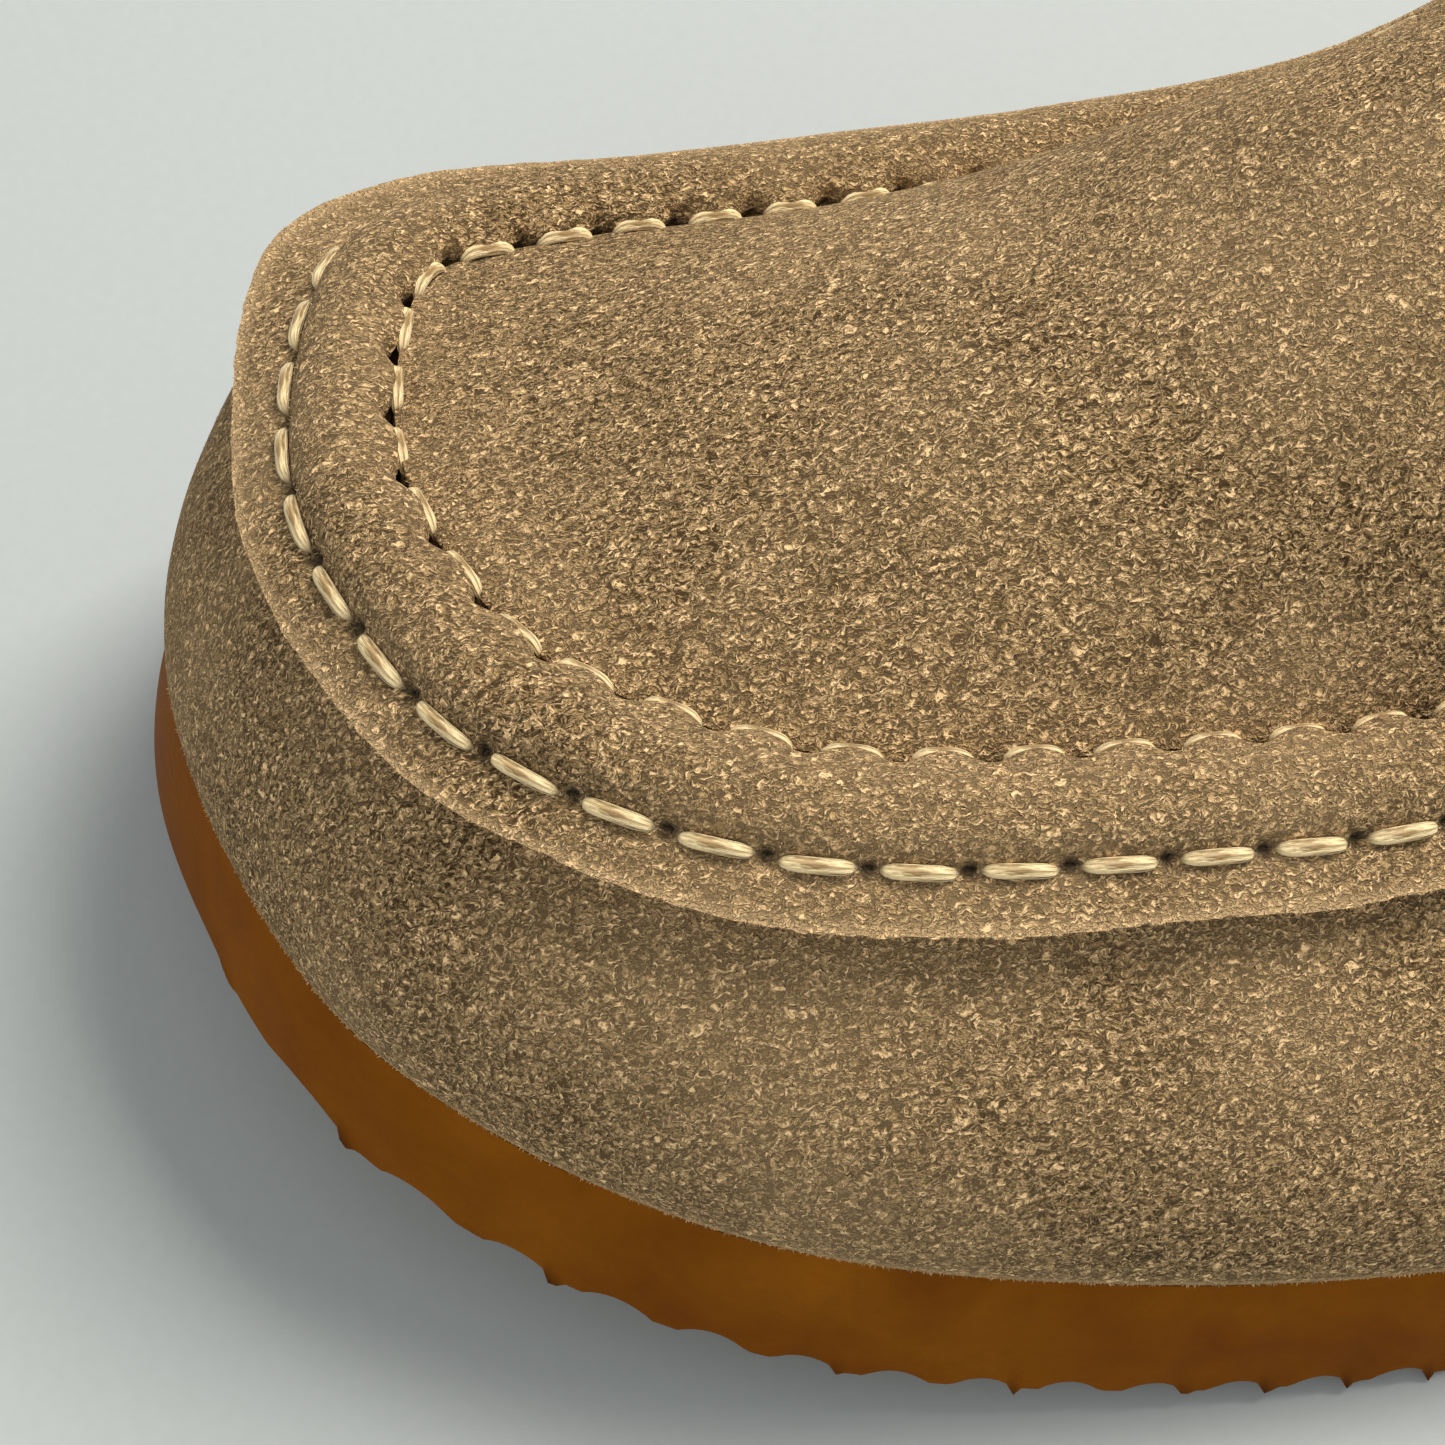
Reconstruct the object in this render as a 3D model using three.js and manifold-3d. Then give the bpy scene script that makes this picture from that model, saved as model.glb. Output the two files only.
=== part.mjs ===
// A left moccasin, slip-on, built up in layers from its sole.
// Millimetres, +Z up. The toe points to -Y, and the outer side of the foot is +X.
// The shapes are worked out in a frame whose y runs back from the upper's toe, and the
// whole group is moved at the end, so that its box stands centred on the origin.

import * as THREE from 'three';
import { mergeVertices } from 'three/addons/utils/BufferGeometryUtils.js';
import Module from 'manifold-3d';

const wasm = await Module();
wasm.setup();

const { clamp, degToRad, euclideanModulo, lerp, smoothstep } = THREE.MathUtils;

// ---- Driving dimensions ----

const upperLength = 277;          // toe to heel, along the line where the upper meets the sole
const ballWidth = 95;             // across the ball of the foot, on the same line
const toeSpring = 11.5;           // lift of the sole under the toe
const springLength = 95;          // from the toe to where the sole reaches the floor
const springBend = 2;             // how late the upper's bottom edge turns up to the toe
const undersideBend = 2.5;        // the same, for the sole's underside
const forefootThickness = 10.2;   // of the sole
const heelThickness = 22;
const wedgeStart = 112;           // from the toe to where the sole thickens towards the heel
const heelSeatLength = 62;        // of the sole at its full heel thickness, from the heel
const wedgeEnd = upperLength - heelSeatLength;
const soleLedge = 2.3;            // the sole's bottom edge stands out this far from the upper
const soleTopLedge = 0.8;         // and its top edge this far

const fitGap = 0.3;               // between pieces that touch
const suedeThickness = 1.4;
const stiffenerThickness = 0.8;   // toe puff and heel counter
const liningThickness = 0.9;
const toePuffLength = 62;         // along the edge, to each side of the toe
const toePuffFoot = 0.04;         // its lower edge, as a share of the side's height
const toePuffTop = 0.9;
const counterLength = 78;         // along the edge, to each side of the heel
const counterFoot = 0.02;         // its lower edge, and the back strip's
const counterTop = 0.7;
const collarFoamThickness = 3;

const rollWidth = 6.6;            // between the two rows of stitches
const rollHeight = 3.0;           // crest above the outer row
const rollInnerStep = 1.1;        // inner edge above the outer row
const flangeWidth = 3.3;          // raw margin outside the outer row
const cordDiameter = 2.4;         // filler inside the roll
const threadDiameter = 0.8;

const boardThickness = 2;
const boardClearance = 0.8;       // from the lining to the insole board
const footbedClearance = 3.2;     // from the lining to the footbed, which the sides lean over
const fillerThickness = 1.6;
const fillerStart = 22;           // from the toe
const fillerEnd = 118;
const fillerMargin = 16;          // from the upper's edge
const shankThickness = 1.6;
const shankWidth = 14;
const shankStart = 128;           // from the toe
const shankHeelMargin = 39;       // from the shank's rear end to the heel
const shankEnd = upperLength - shankHeelMargin;
const footbedThickness = 4.5;
const footbedHeelExtra = 2;       // added under the heel
const footbedCup = 4;             // rise of the footbed's edge at the heel
const sockThickness = 1.1;
const heelPadThickness = 2.5;
const heelPadLength = 54;
const heelPadWidth = 38;
const heelPadHeelMargin = 37;     // from the pad's middle to the heel
const heelPadCentre = upperLength - heelPadHeelMargin;

const throatLine = 112;           // from the toe to the apron's rear corners
const bindingHeight = 3.2;        // of the collar's and the throat's edge binding
const bindingLip = 0.7;           // the binding stands this far over each face
const tongueGap = 1.6;            // from the throat binding to the tongue
const tongueLength = 36;
const tongueBaseWidth = 26;
const tongueTipWidth = 31;
const tongueRise = 18;            // tip above base
const tongueFoamThickness = 2.6;
const tongueFoamMargin = 3;
const tongueRoundStart = 0.7;     // share of the length where its corners begin
const tongueRoundDraw = 0.42;     // share of the width that they take off
const backStripWidth = 26;
const backStripThickness = 1.3;
const backStripTop = 0.96;        // as a share of the side's height
const seamInset = 2.4;            // from a seam to its row of stitches

// Plan of the line where the upper meets the sole. Each row holds the share of the length
// from the toe, then the outer and inner half widths as shares of the ball's width.
const planRows = [
  [0.018, 0.190, 0.242],
  [0.047, 0.303, 0.350],
  [0.101, 0.413, 0.428],
  [0.181, 0.487, 0.463],
  [0.271, 0.527, 0.474],
  [0.361, 0.532, 0.463],
  [0.487, 0.484, 0.400],
  [0.632, 0.411, 0.345],
  [0.776, 0.374, 0.347],
  [0.884, 0.345, 0.332],
  [0.960, 0.235, 0.230],
];
const tipOffset = -0.042;         // the foremost point, as a share of the ball's width

// Side profile of the upper. Each row holds the share of the profile from the toe, the inset
// of the top edge on the outer and on the inner side, its rise above the sole, its slope in
// degrees, the reach of that slope, and the bulge of the side.
const sideRows = [
  [0.000, 10.5, 10.5, 17.8, 34, 5, 0.8],
  [0.040, 12.0, 9.8, 19.2, 34, 5.6, 1.0],
  [0.101, 13.3, 13.4, 21.3, 34, 7, 1.3],
  [0.181, 15.7, 15.7, 23.0, 34, 8, 1.5],
  [0.260, 18.3, 16.4, 23.6, 36, 9, 1.6],
  [0.332, 21.4, 18.6, 28.5, 44, 11, 1.8],
  [0.404, 24.5, 20.5, 43.0, 58, 13, 2.0],
  [0.505, 17.5, 11.5, 41.5, 74, 13, 2.2],
  [0.650, 10.5, 6.5, 41.0, 80, 13, 2.4],
  [0.794, 7.5, 6.5, 43.5, 84, 14, 3.0],
  [0.920, 6.0, 6.0, 48.5, 86, 14, 3.4],
  [1.000, 5.2, 5.2, 51.5, 87, 14, 3.6],
];
const bulgeShare = 0.36;          // where the side bulges, as a share of the rise
const profileThroat = 0.4043;     // share of the profile at which its rows have the throat

// Crown of the apron. Each row holds the share of the profile from the toe, and the height
// of the apron's middle above its seam.
const crownRows = [
  [0.058, 0.4],
  [0.108, 4.6],
  [0.162, 9.6],
  [0.206, 13.6],
  [0.256, 21.9],
  [0.314, 25.3],
  [0.361, 23.0],
  [0.404, 21.0],
];
const crownPower = 2.25;          // roundness of the apron across the foot

// How finely the shapes are faceted.
const frontSteps = 13;            // from the toe tip to the throat, on each side
const rearSteps = 13;             // from the throat to the heel, on each side
const sideShares = [0, 0.17, 0.34, 0.51, 0.68, 0.84, 1];
const nearestShare = 0.004;       // closer shares or stations than this would make slivers
const plateSteps = 32;            // from the toe to the heel, for every plate of the bottom
const nearestRow = 0.6;           // least space between two rows of a plate
const footbedColumns = 6;
const apronRows = 14;
const apronColumns = 10;
const barSides = 6;               // of threads and of the roll's filler

// ---- Smooth tables ----

// A smooth function through the first column and one other column of some rows.
function smoothColumn(rows, column) {
  const at = rows.map((row) => row[0]);
  const value = rows.map((row) => row[column]);
  const last = rows.length - 1;
  const slope = rows.map((row, i) => {
    const before = Math.max(i - 1, 0);
    const after = Math.min(i + 1, last);
    return (value[after] - value[before]) / (at[after] - at[before]);
  });
  return (x) => {
    const inside = clamp(x, at[0], at[last]);
    let i = 0;
    while (i < last - 1 && inside > at[i + 1]) i++;
    const span = at[i + 1] - at[i];
    const t = (inside - at[i]) / span;
    const rest = 1 - t;
    const held = value[i] * rest * rest * (1 + 2 * t) + value[i + 1] * t * t * (3 - 2 * t);
    return held + span * t * rest * (slope[i] * rest - slope[i + 1] * t);
  };
}

const [insetOuter, insetInner, topRise, topSlope, topReach, sideBulge] =
  [1, 2, 3, 4, 5, 6].map((column) => smoothColumn(sideRows, column));
const apronCrown = smoothColumn(crownRows, 1);

// ---- The plan ----

// One closed curve: the toe tip, back along the outer side, round the heel, and forward
// along the inner side.
const outerPlan = planRows.map(([y, outer]) => new THREE.Vector3(outer * ballWidth, y * upperLength, 0));
const innerPlan = planRows.map(([y, , inner]) => new THREE.Vector3(-inner * ballWidth, y * upperLength, 0));
const planPoints = [
  new THREE.Vector3(tipOffset * ballWidth, 0, 0),
  ...outerPlan,
  new THREE.Vector3(0, upperLength, 0),
  ...innerPlan.reverse(),
];
const samplesPerPoint = 24;
const planSamples = new THREE.CatmullRomCurve3(planPoints, true, 'centripetal')
  .getPoints(planPoints.length * samplesPerPoint);
const runs = [0];
for (let i = 1; i < planSamples.length; i++) {
  runs.push(runs[i - 1] + planSamples[i].distanceTo(planSamples[i - 1]));
}
const outerRun = runs[(planRows.length + 1) * samplesPerPoint];
const innerRun = runs[runs.length - 1] - outerRun;

// A station runs from 0 at the toe tip to 1 at the heel along the outer side, and from 1
// to 2 at the toe tip again along the inner side.
function planAt(station) {
  const wrapped = euclideanModulo(station, 2);
  const run = wrapped <= 1 ? wrapped * outerRun : outerRun + (wrapped - 1) * innerRun;
  let i = 0;
  while (i < runs.length - 2 && runs[i + 1] < run) i++;
  const share = (run - runs[i]) / (runs[i + 1] - runs[i]);
  return planSamples[i].clone().lerp(planSamples[i + 1], share);
}

function outwardAt(station) {
  const reach = 0.006;            // stations to each side that set the direction
  const along = planAt(station + reach).sub(planAt(station - reach)).normalize();
  return new THREE.Vector3(along.y, -along.x, 0);
}

// The station on one side whose plan point lies at a length y from the toe.
function stationAt(y, inner) {
  let near = 0.02;
  let far = 0.98;
  for (let i = 0; i < 40; i++) {
    const middle = (near + far) / 2;
    if (planAt(inner ? -middle : middle).y < y) near = middle;
    else far = middle;
  }
  return inner ? 2 - near : near;
}

const throatOuter = stationAt(throatLine, false);
const throatInner = stationAt(throatLine, true);

// The values of a list that lie between two others, with those two as its ends.
function between(list, from, to, nearest = nearestShare) {
  return [from, ...list.filter((value) => value > from + nearest && value < to - nearest), to];
}

// A list with more values in it, which take the place of any that lie close to them.
function joined(list, ...extra) {
  const clear = list.filter((value) => extra.every((added) => Math.abs(value - added) > nearestShare));
  return [...clear, ...extra].sort((a, b) => a - b);
}

// Stations and shares of the facets. They are closer together round the toe and round the
// heel. Every layer of the side has facet edges where any of its layers ends, so that the
// layers nest.
const puffSpan = toePuffLength / outerRun;
const counterSpan = counterLength / outerRun;
const backSpan = backStripWidth / 2 / outerRun;
const evenFront = [];
for (let k = -frontSteps; k <= frontSteps; k++) {
  const share = Math.abs(k / frontSteps) ** 1.25;
  evenFront.push(k < 0 ? share * (throatInner - 2) : share * throatOuter);
}
const evenRear = [];
for (let k = -rearSteps; k <= rearSteps; k++) {
  const share = Math.abs(k / rearSteps) ** 1.6;
  evenRear.push(1 + share * (k < 0 ? throatOuter - 1 : throatInner - 1));
}
const frontStations = joined(evenFront, -puffSpan, puffSpan);
const rearStations = joined(evenRear,
  1 - counterSpan, 1 - backSpan, 1 + backSpan, 1 + counterSpan);
const frontShares = joined(sideShares, toePuffFoot, toePuffTop);
const rearShares = joined(sideShares, counterFoot, counterTop, backStripTop);

// ---- Heights of the sole ----

function springHeight(y, bend) {
  return toeSpring * clamp(1 - y / springLength, 0, 2) ** bend;
}

function undersideHeight(y) {
  return springHeight(y, undersideBend);
}

// Height of the line where the upper meets the sole.
function featherHeight(y) {
  const wedge = smoothstep(y, wedgeStart, wedgeEnd);
  return springHeight(y, springBend) + lerp(forefootThickness, heelThickness, wedge);
}

// ---- The shell of the upper ----

// Share of the profile at a length from the toe. It meets the throat at the throat line,
// however long the rest of the upper is.
function profileShare(y) {
  if (y <= throatLine) return profileThroat * y / throatLine;
  return lerp(profileThroat, 1, (y - throatLine) / (upperLength - throatLine));
}

// The side's section at a station: distance in from the plan against height.
function sideCurve(station) {
  const y = planAt(station).y;
  const along = profileShare(y);
  const inner = euclideanModulo(station, 2) > 1;
  const inset = inner ? insetInner(along) : insetOuter(along);
  const slope = degToRad(topSlope(along));
  const base = featherHeight(y);
  const rise = topRise(along);
  return new THREE.CubicBezierCurve(
    new THREE.Vector2(0, base),
    new THREE.Vector2(-sideBulge(along), base + bulgeShare * rise),
    new THREE.Vector2(inset, base + rise)
      .sub(new THREE.Vector2(Math.cos(slope), Math.sin(slope)).multiplyScalar(topReach(along))),
    new THREE.Vector2(inset, base + rise),
  );
}

// A point of a section curve at a share of its run, moved in by a depth.
function sectionPoint(curve, share, depth) {
  const point = curve.getPoint(share);
  const tangent = curve.getTangent(share);
  return new THREE.Vector2(point.x + tangent.y * depth, point.y - tangent.x * depth);
}

function place(station, section) {
  const foot = planAt(station);
  return outwardAt(station).multiplyScalar(-section.x).add(foot).setZ(section.y);
}

const liningDepth = suedeThickness + fitGap + stiffenerThickness + fitGap;

// Depth of the quarters' lining, which steps in where the collar is padded.
const foamStartShare = 0.74;
const foamFullShare = 0.86;
function collarDepth(share) {
  const padded = smoothstep(share, foamStartShare, foamFullShare);
  return lerp(liningDepth, suedeThickness + collarFoamThickness + 2 * fitGap, padded);
}

// ---- Solids ----

// A closed solid through rings of points, one ring after the other. The second half of a
// ring runs back over the first, so that its ends close as strips between the two, and
// both halves split their faces along the same diagonal, so that layers nest.
function loft(rings) {
  const count = rings[0].length;
  const index = [];
  for (let k = 0; k + 1 < rings.length; k++) {
    for (let i = 0; i < count; i++) {
      const a = k * count + i;
      const b = k * count + (i + 1) % count;
      if (i < count / 2) index.push(a, b, b + count, a, b + count, a + count);
      else index.push(a, b, a + count, b, b + count, a + count);
    }
  }
  const last = (rings.length - 1) * count;
  for (let i = 0; i < count / 2 - 1; i++) {
    const far = count - 1 - i;
    index.push(i, far, far - 1, i, far - 1, i + 1);
    index.push(last + i, last + i + 1, last + far - 1, last + i, last + far - 1, last + far);
  }
  const positions = rings.flat().flatMap((point) => point.toArray());
  const shape = new THREE.BufferGeometry();
  shape.setAttribute('position', new THREE.Float32BufferAttribute(positions, 3));
  shape.setIndex(index);
  return facingOut(mergeVertices(shape, 1e-3));
}

// Drops faces that have shrunk to a line, and turns the solid the right way out.
function facingOut(shape) {
  const position = shape.getAttribute('position');
  const corners = [new THREE.Vector3(), new THREE.Vector3(), new THREE.Vector3()];
  const kept = [];
  let volume = 0;
  for (let i = 0; i < shape.index.count; i += 3) {
    const face = [0, 1, 2].map((k) => shape.index.getX(i + k));
    if (new Set(face).size < 3) continue;
    kept.push(face);
    corners.forEach((corner, k) => corner.fromBufferAttribute(position, face[k]));
    volume += corners[0].dot(corners[1].clone().cross(corners[2]));
  }
  shape.setIndex((volume < 0 ? kept.map((face) => face.reverse()) : kept).flat());
  return shape;
}

function manifoldOf(shape) {
  const bare = shape.clone();
  bare.deleteAttribute('normal');
  bare.deleteAttribute('uv');
  const merged = mergeVertices(bare, 1e-3);
  return new wasm.Manifold(new wasm.Mesh({
    numProp: 3,
    vertProperties: Float32Array.from(merged.getAttribute('position').array),
    triVerts: Uint32Array.from(merged.index.array),
  }));
}

function cut(shape, ...tools) {
  const left = tools.reduce((solid, tool) => solid.subtract(manifoldOf(tool)), manifoldOf(shape));
  const { vertProperties, triVerts } = left.getMesh();
  const result = new THREE.BufferGeometry();
  result.setAttribute('position', new THREE.Float32BufferAttribute(vertProperties, 3));
  result.setIndex(Array.from(triVerts));
  return result;
}

// A layer of the side between two depths, which may change with the share of the height.
function sideLayer(stations, shares, outerDepth, innerDepth) {
  return loft(stations.map((station) => {
    const curve = sideCurve(station);
    const outer = shares.map((share) => sectionPoint(curve, share, outerDepth(share)));
    const inner = shares.map((share) => sectionPoint(curve, share, innerDepth(share)));
    return [...outer, ...inner.reverse()].map((point) => place(station, point));
  }));
}

const always = (value) => () => value;

// Distance along x of the plan, moved in by an inset, at a length y from the toe.
const edgeSteps = 160;
const edgeLines = new Map();
function edgeAt(y, inner, inset) {
  const key = `${inner} ${inset}`;
  if (!edgeLines.has(key)) {
    const line = [];
    for (let k = 0; k <= edgeSteps; k++) {
      const station = (inner ? -1 : 1) * k / edgeSteps;
      line.push(place(station, new THREE.Vector2(inset, 0)));
    }
    edgeLines.set(key, line);
  }
  const line = edgeLines.get(key);
  if (y <= line[0].y) return line[0].x;
  if (y >= line[edgeSteps].y) return line[edgeSteps].x;
  let k = 0;
  while (k < edgeSteps - 1 && line[k + 1].y < y) k++;
  const share = clamp((y - line[k].y) / (line[k + 1].y - line[k].y), 0, 1);
  return lerp(line[k].x, line[k + 1].x, share);
}

// Lengths of the rows that every plate of the bottom shares, so that plates lie on each
// other facet by facet. They are closer together towards the toe and the heel.
const plateRows = Array.from({ length: plateSteps + 1 }, (unused, k) => {
  return upperLength * (1 - Math.cos(Math.PI * k / plateSteps)) / 2;
});

// A plate of the sole's shape with its top and bottom edges moved in by two insets. Its top
// and bottom are heights at a length from the toe and at a share of the width from -1 to 1.
function solePlate([topInset, bottomInset], from, to, columns, top, bottom) {
  const shares = Array.from({ length: columns + 1 }, (unused, k) => 2 * k / columns - 1);
  return loft(between(plateRows, from, to, nearestRow).map((y) => {
    const across = (inset, height) => shares.map((share) => {
      const inside = clamp(y, inset, upperLength - inset);
      const x = lerp(edgeAt(inside, true, inset), edgeAt(inside, false, inset), (share + 1) / 2);
      return new THREE.Vector3(x, inside, height(inside, share));
    });
    return [...across(topInset, top), ...across(bottomInset, bottom).reverse()];
  }));
}

// ---- The bottom of the shoe ----

const soleTop = (y) => featherHeight(y) - fitGap;

function fillerPlate(spread, top, depth) {
  const inset = fillerMargin - spread;
  return solePlate([inset, inset], fillerStart - spread, fillerEnd + spread, 1,
    (y) => soleTop(y) + top, (y) => soleTop(y) - depth);
}

function shankPlate(spread, top, depth) {
  const half = shankWidth / 2 + spread;
  return loft(between(plateRows, shankStart - spread, shankEnd + spread, nearestRow).map((y) => [
    new THREE.Vector3(half, y, soleTop(y) + top),
    new THREE.Vector3(-half, y, soleTop(y) + top),
    new THREE.Vector3(-half, y, soleTop(y) - depth),
    new THREE.Vector3(half, y, soleTop(y) - depth),
  ]));
}

function outsole() {
  const whole = solePlate([-soleTopLedge, -soleLedge], -soleLedge, upperLength + soleLedge,
    1, soleTop, undersideHeight);
  return cut(whole,
    fillerPlate(fitGap, 1, fillerThickness + fitGap),
    shankPlate(fitGap, 1, shankThickness + fitGap));
}

const shellDepth = liningDepth + liningThickness;
const boardTop = (y) => featherHeight(y) + boardThickness;

// A plate that fills the inside of the upper up to a clearance, with its two ends blunt.
function innerPlate(clearance, columns, top, bottom) {
  const inset = shellDepth + clearance;
  return solePlate([inset, inset], inset + fitGap, upperLength - inset - fitGap, columns, top, bottom);
}

function footbedTop(y, share) {
  const heel = smoothstep(y, wedgeStart, wedgeEnd);
  const flat = boardTop(y) + fitGap + footbedThickness + footbedHeelExtra * heel;
  return flat + footbedCup * heel * share ** 4;
}

function heelPadPlug(spread, above) {
  const oval = new THREE.Shape();
  oval.absellipse(0, heelPadCentre, heelPadWidth / 2 + spread, heelPadLength / 2 + spread, 0, 2 * Math.PI);
  const depth = heelPadThickness + above + spread;
  const solid = new THREE.ExtrudeGeometry(oval, { depth, bevelEnabled: false, curveSegments: 12 });
  return solid.translate(0, 0, footbedTop(heelPadCentre, 0) + above - depth);
}

function footbed() {
  const whole = innerPlate(footbedClearance, footbedColumns,
    footbedTop, (y) => boardTop(y) + fitGap);
  return cut(whole, heelPadPlug(fitGap, 2 * footbedCup));
}

function sockLiner() {
  const underside = (y, share) => footbedTop(y, share) + fitGap;
  const top = (y, share) => underside(y, share) + sockThickness;
  return innerPlate(footbedClearance, footbedColumns, top, underside);
}

// ---- The roll along the apron ----

// Outer face of the roll at a station, from its raw outer edge to its inner edge.
function rollCurve(station) {
  const side = sideCurve(station);
  const lift = -(fitGap + suedeThickness);
  const along = (fromTop) => {
    const share = side.getUtoTmapping(1 - fromTop / side.getLength());
    return sectionPoint(side, share, lift);
  };
  const row = along(0);
  const over = (width, height) => new THREE.Vector2(row.x + width, row.y + height);
  return {
    row,
    margin: [along(flangeWidth), along(flangeWidth / 2), row],
    roll: new THREE.SplineCurve([
      row,
      over(rollWidth * 0.22, rollHeight * 0.68),
      over(rollWidth * 0.54, rollHeight),
      over(rollWidth * 0.84, rollHeight * 0.8),
      over(rollWidth, rollInnerStep),
    ]),
  };
}

function apronRoll() {
  const shares = [0.2, 0.4, 0.6, 0.8, 1];
  return loft(frontStations.map((station) => {
    const { margin, roll } = rollCurve(station);
    const side = sideCurve(station);
    const tangent = side.getTangent(1);
    const inward = new THREE.Vector2(tangent.y, -tangent.x).multiplyScalar(suedeThickness);
    const outer = [...margin, ...shares.map((share) => roll.getPoint(share))];
    const inner = [
      ...margin.map((point) => point.clone().add(inward)),
      ...shares.map((share) => sectionPoint(roll, share, suedeThickness)),
    ];
    return [...outer, ...inner.reverse()].map((point) => place(station, point));
  }));
}

// A round bar through one point of the section at each station.
function bar(stations, centreAt, diameter) {
  return loft(stations.map((station) => {
    const centre = centreAt(station);
    return Array.from({ length: barSides }, (unused, k) => {
      const turn = 2 * Math.PI * (k + 0.5) / barSides;
      const spoke = new THREE.Vector2(Math.cos(turn), Math.sin(turn)).multiplyScalar(diameter / 2);
      return place(station, spoke.add(centre));
    });
  }));
}

function rollCordCentre(station) {
  const { roll } = rollCurve(station);
  return sectionPoint(roll, 0.5, suedeThickness + fitGap + cordDiameter / 2);
}

const threadStand = fitGap + threadDiameter / 2;

function outerRowCentre(station) {
  return sectionPoint(sideCurve(station), 1, -(fitGap + suedeThickness + threadStand));
}

function innerRowCentre(station) {
  const { roll } = rollCurve(station);
  return sectionPoint(roll, 0.88, -threadStand);
}

// ---- The apron ----

// Edge of the apron's outer face, beside the roll's inner edge.
function apronEdge(station) {
  const { row } = rollCurve(station);
  return place(station, new THREE.Vector2(row.x + rollWidth + fitGap, row.y + rollInnerStep - fitGap));
}

// A point of the apron's outer face: length from the tip at 0 to the throat at 1, and
// width from the inner edge at 0 to the outer edge at 1.
function apronPoint(length, width) {
  const outer = apronEdge(length * throatOuter);
  const inner = apronEdge(length * (throatInner - 2));
  const middle = (outer.y + inner.y) / 2;
  const point = inner.clone().lerp(outer, width);
  const crown = apronCrown(profileShare(middle));
  point.z += crown * (1 - Math.abs(2 * width - 1) ** crownPower);
  return point;
}

// Directions of the apron's face: back along it, and out of it. The tip is one point, so
// it has one direction for all widths.
function apronFrame(length, width) {
  const step = 0.01;
  const from = clamp(length, 0.06, 1 - step);
  const at = length === 0 ? 0.5 : clamp(width, step, 1 - step);
  const back = apronPoint(from + step, at).sub(apronPoint(from - step, at)).normalize();
  const across = apronPoint(from, at + step).sub(apronPoint(from, at - step));
  const out = across.cross(back).normalize();
  return { back, out };
}

function apronLayer(outerDepth, innerDepth) {
  const widths = Array.from({ length: apronColumns + 1 }, (unused, k) => {
    return (1 - Math.cos(Math.PI * k / apronColumns)) / 2;
  });
  const lengths = Array.from({ length: apronRows + 1 }, (unused, k) => (k / apronRows) ** 1.25);
  const at = (length, width, depth) => {
    const { out } = apronFrame(length, width);
    return apronPoint(length, width).addScaledVector(out, -depth);
  };
  return loft(lengths.map((length) => {
    const outer = widths.map((width) => at(length, width, outerDepth));
    const inner = widths.map((width) => at(length, width, innerDepth));
    return [...outer, ...inner.reverse()];
  }));
}

const apronDepth = suedeThickness + fitGap + liningThickness;

// Binding over the apron's rear edge.
function throatBinding() {
  const low = -bindingLip;
  const high = apronDepth + bindingLip;
  const section = [
    [low, fitGap], [low, bindingHeight * 0.7], [lerp(low, high, 0.3), bindingHeight],
    [lerp(low, high, 0.7), bindingHeight], [high, bindingHeight * 0.7], [high, fitGap],
  ];
  const widths = Array.from({ length: 15 }, (unused, k) => lerp(0.03, 0.97, k / 14));
  return loft(widths.map((width) => {
    const { back, out } = apronFrame(1, width);
    const edge = apronPoint(1, width);
    return section.map(([depth, behind]) => {
      return edge.clone().addScaledVector(out, -depth).addScaledVector(back, behind);
    });
  }));
}

// ---- The collar ----

const collarShares = [foamStartShare + 0.02, foamFullShare, 0.97];
const quarterLiningShares = [0, 0.25, 0.5, foamStartShare, foamFullShare, 0.97, 1];
const stationGap = fitGap / outerRun;

function quarter(from, to) {
  return sideLayer(between(rearStations, from, to), rearShares, always(0), always(suedeThickness));
}

function collarBinding() {
  const depth = collarDepth(1) + liningThickness;
  const seat = 2 * fitGap;        // above the edges that it covers
  const section = [
    [-bindingLip, seat], [-bindingLip, bindingHeight * 0.6], [depth * 0.3, bindingHeight],
    [depth * 0.7, bindingHeight], [depth + bindingLip, bindingHeight * 0.6], [depth + bindingLip, seat],
  ];
  return loft(rearStations.map((station) => {
    const side = sideCurve(station);
    const top = side.getPoint(1);
    const up = side.getTangent(1);
    return section.map(([inward, above]) => place(station, new THREE.Vector2(
      top.x + up.y * inward + up.x * above,
      top.y - up.x * inward + up.y * above,
    )));
  }));
}

// A thread that stands on the side at a share of its height.
function sideThread(stations, share, lift) {
  const centre = (station) => sectionPoint(sideCurve(station), share, -(lift + threadStand));
  return bar(stations, centre, threadDiameter);
}

// A thread that runs up the side at one station.
function risingThread(station, lift, shares) {
  const half = threadDiameter / 2;
  const halfStation = half / outerRun;
  return loft(shares.map((share) => {
    const side = sideCurve(station);
    const ring = [];
    for (let k = 0; k < barSides; k++) {
      const turn = 2 * Math.PI * (k + 0.5) / barSides;
      const depth = -(lift + threadStand) - half * Math.sin(turn);
      const shifted = station + halfStation * Math.cos(turn);
      ring.push(place(shifted, sectionPoint(side, share, depth)));
    }
    return ring;
  }));
}

// ---- The tongue ----

const throatMiddle = apronPoint(1, 0.5);
const throatHalfWidth = apronPoint(1, 1).distanceTo(apronPoint(1, 0)) / 2;
const throatCrown = apronCrown(profileShare(throatMiddle.y));
const tongueHinge = throatMiddle.clone()
  .addScaledVector(apronFrame(1, 0.5).out, -(apronDepth + fitGap));
tongueHinge.y = throatMiddle.y + bindingHeight + tongueGap;

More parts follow.
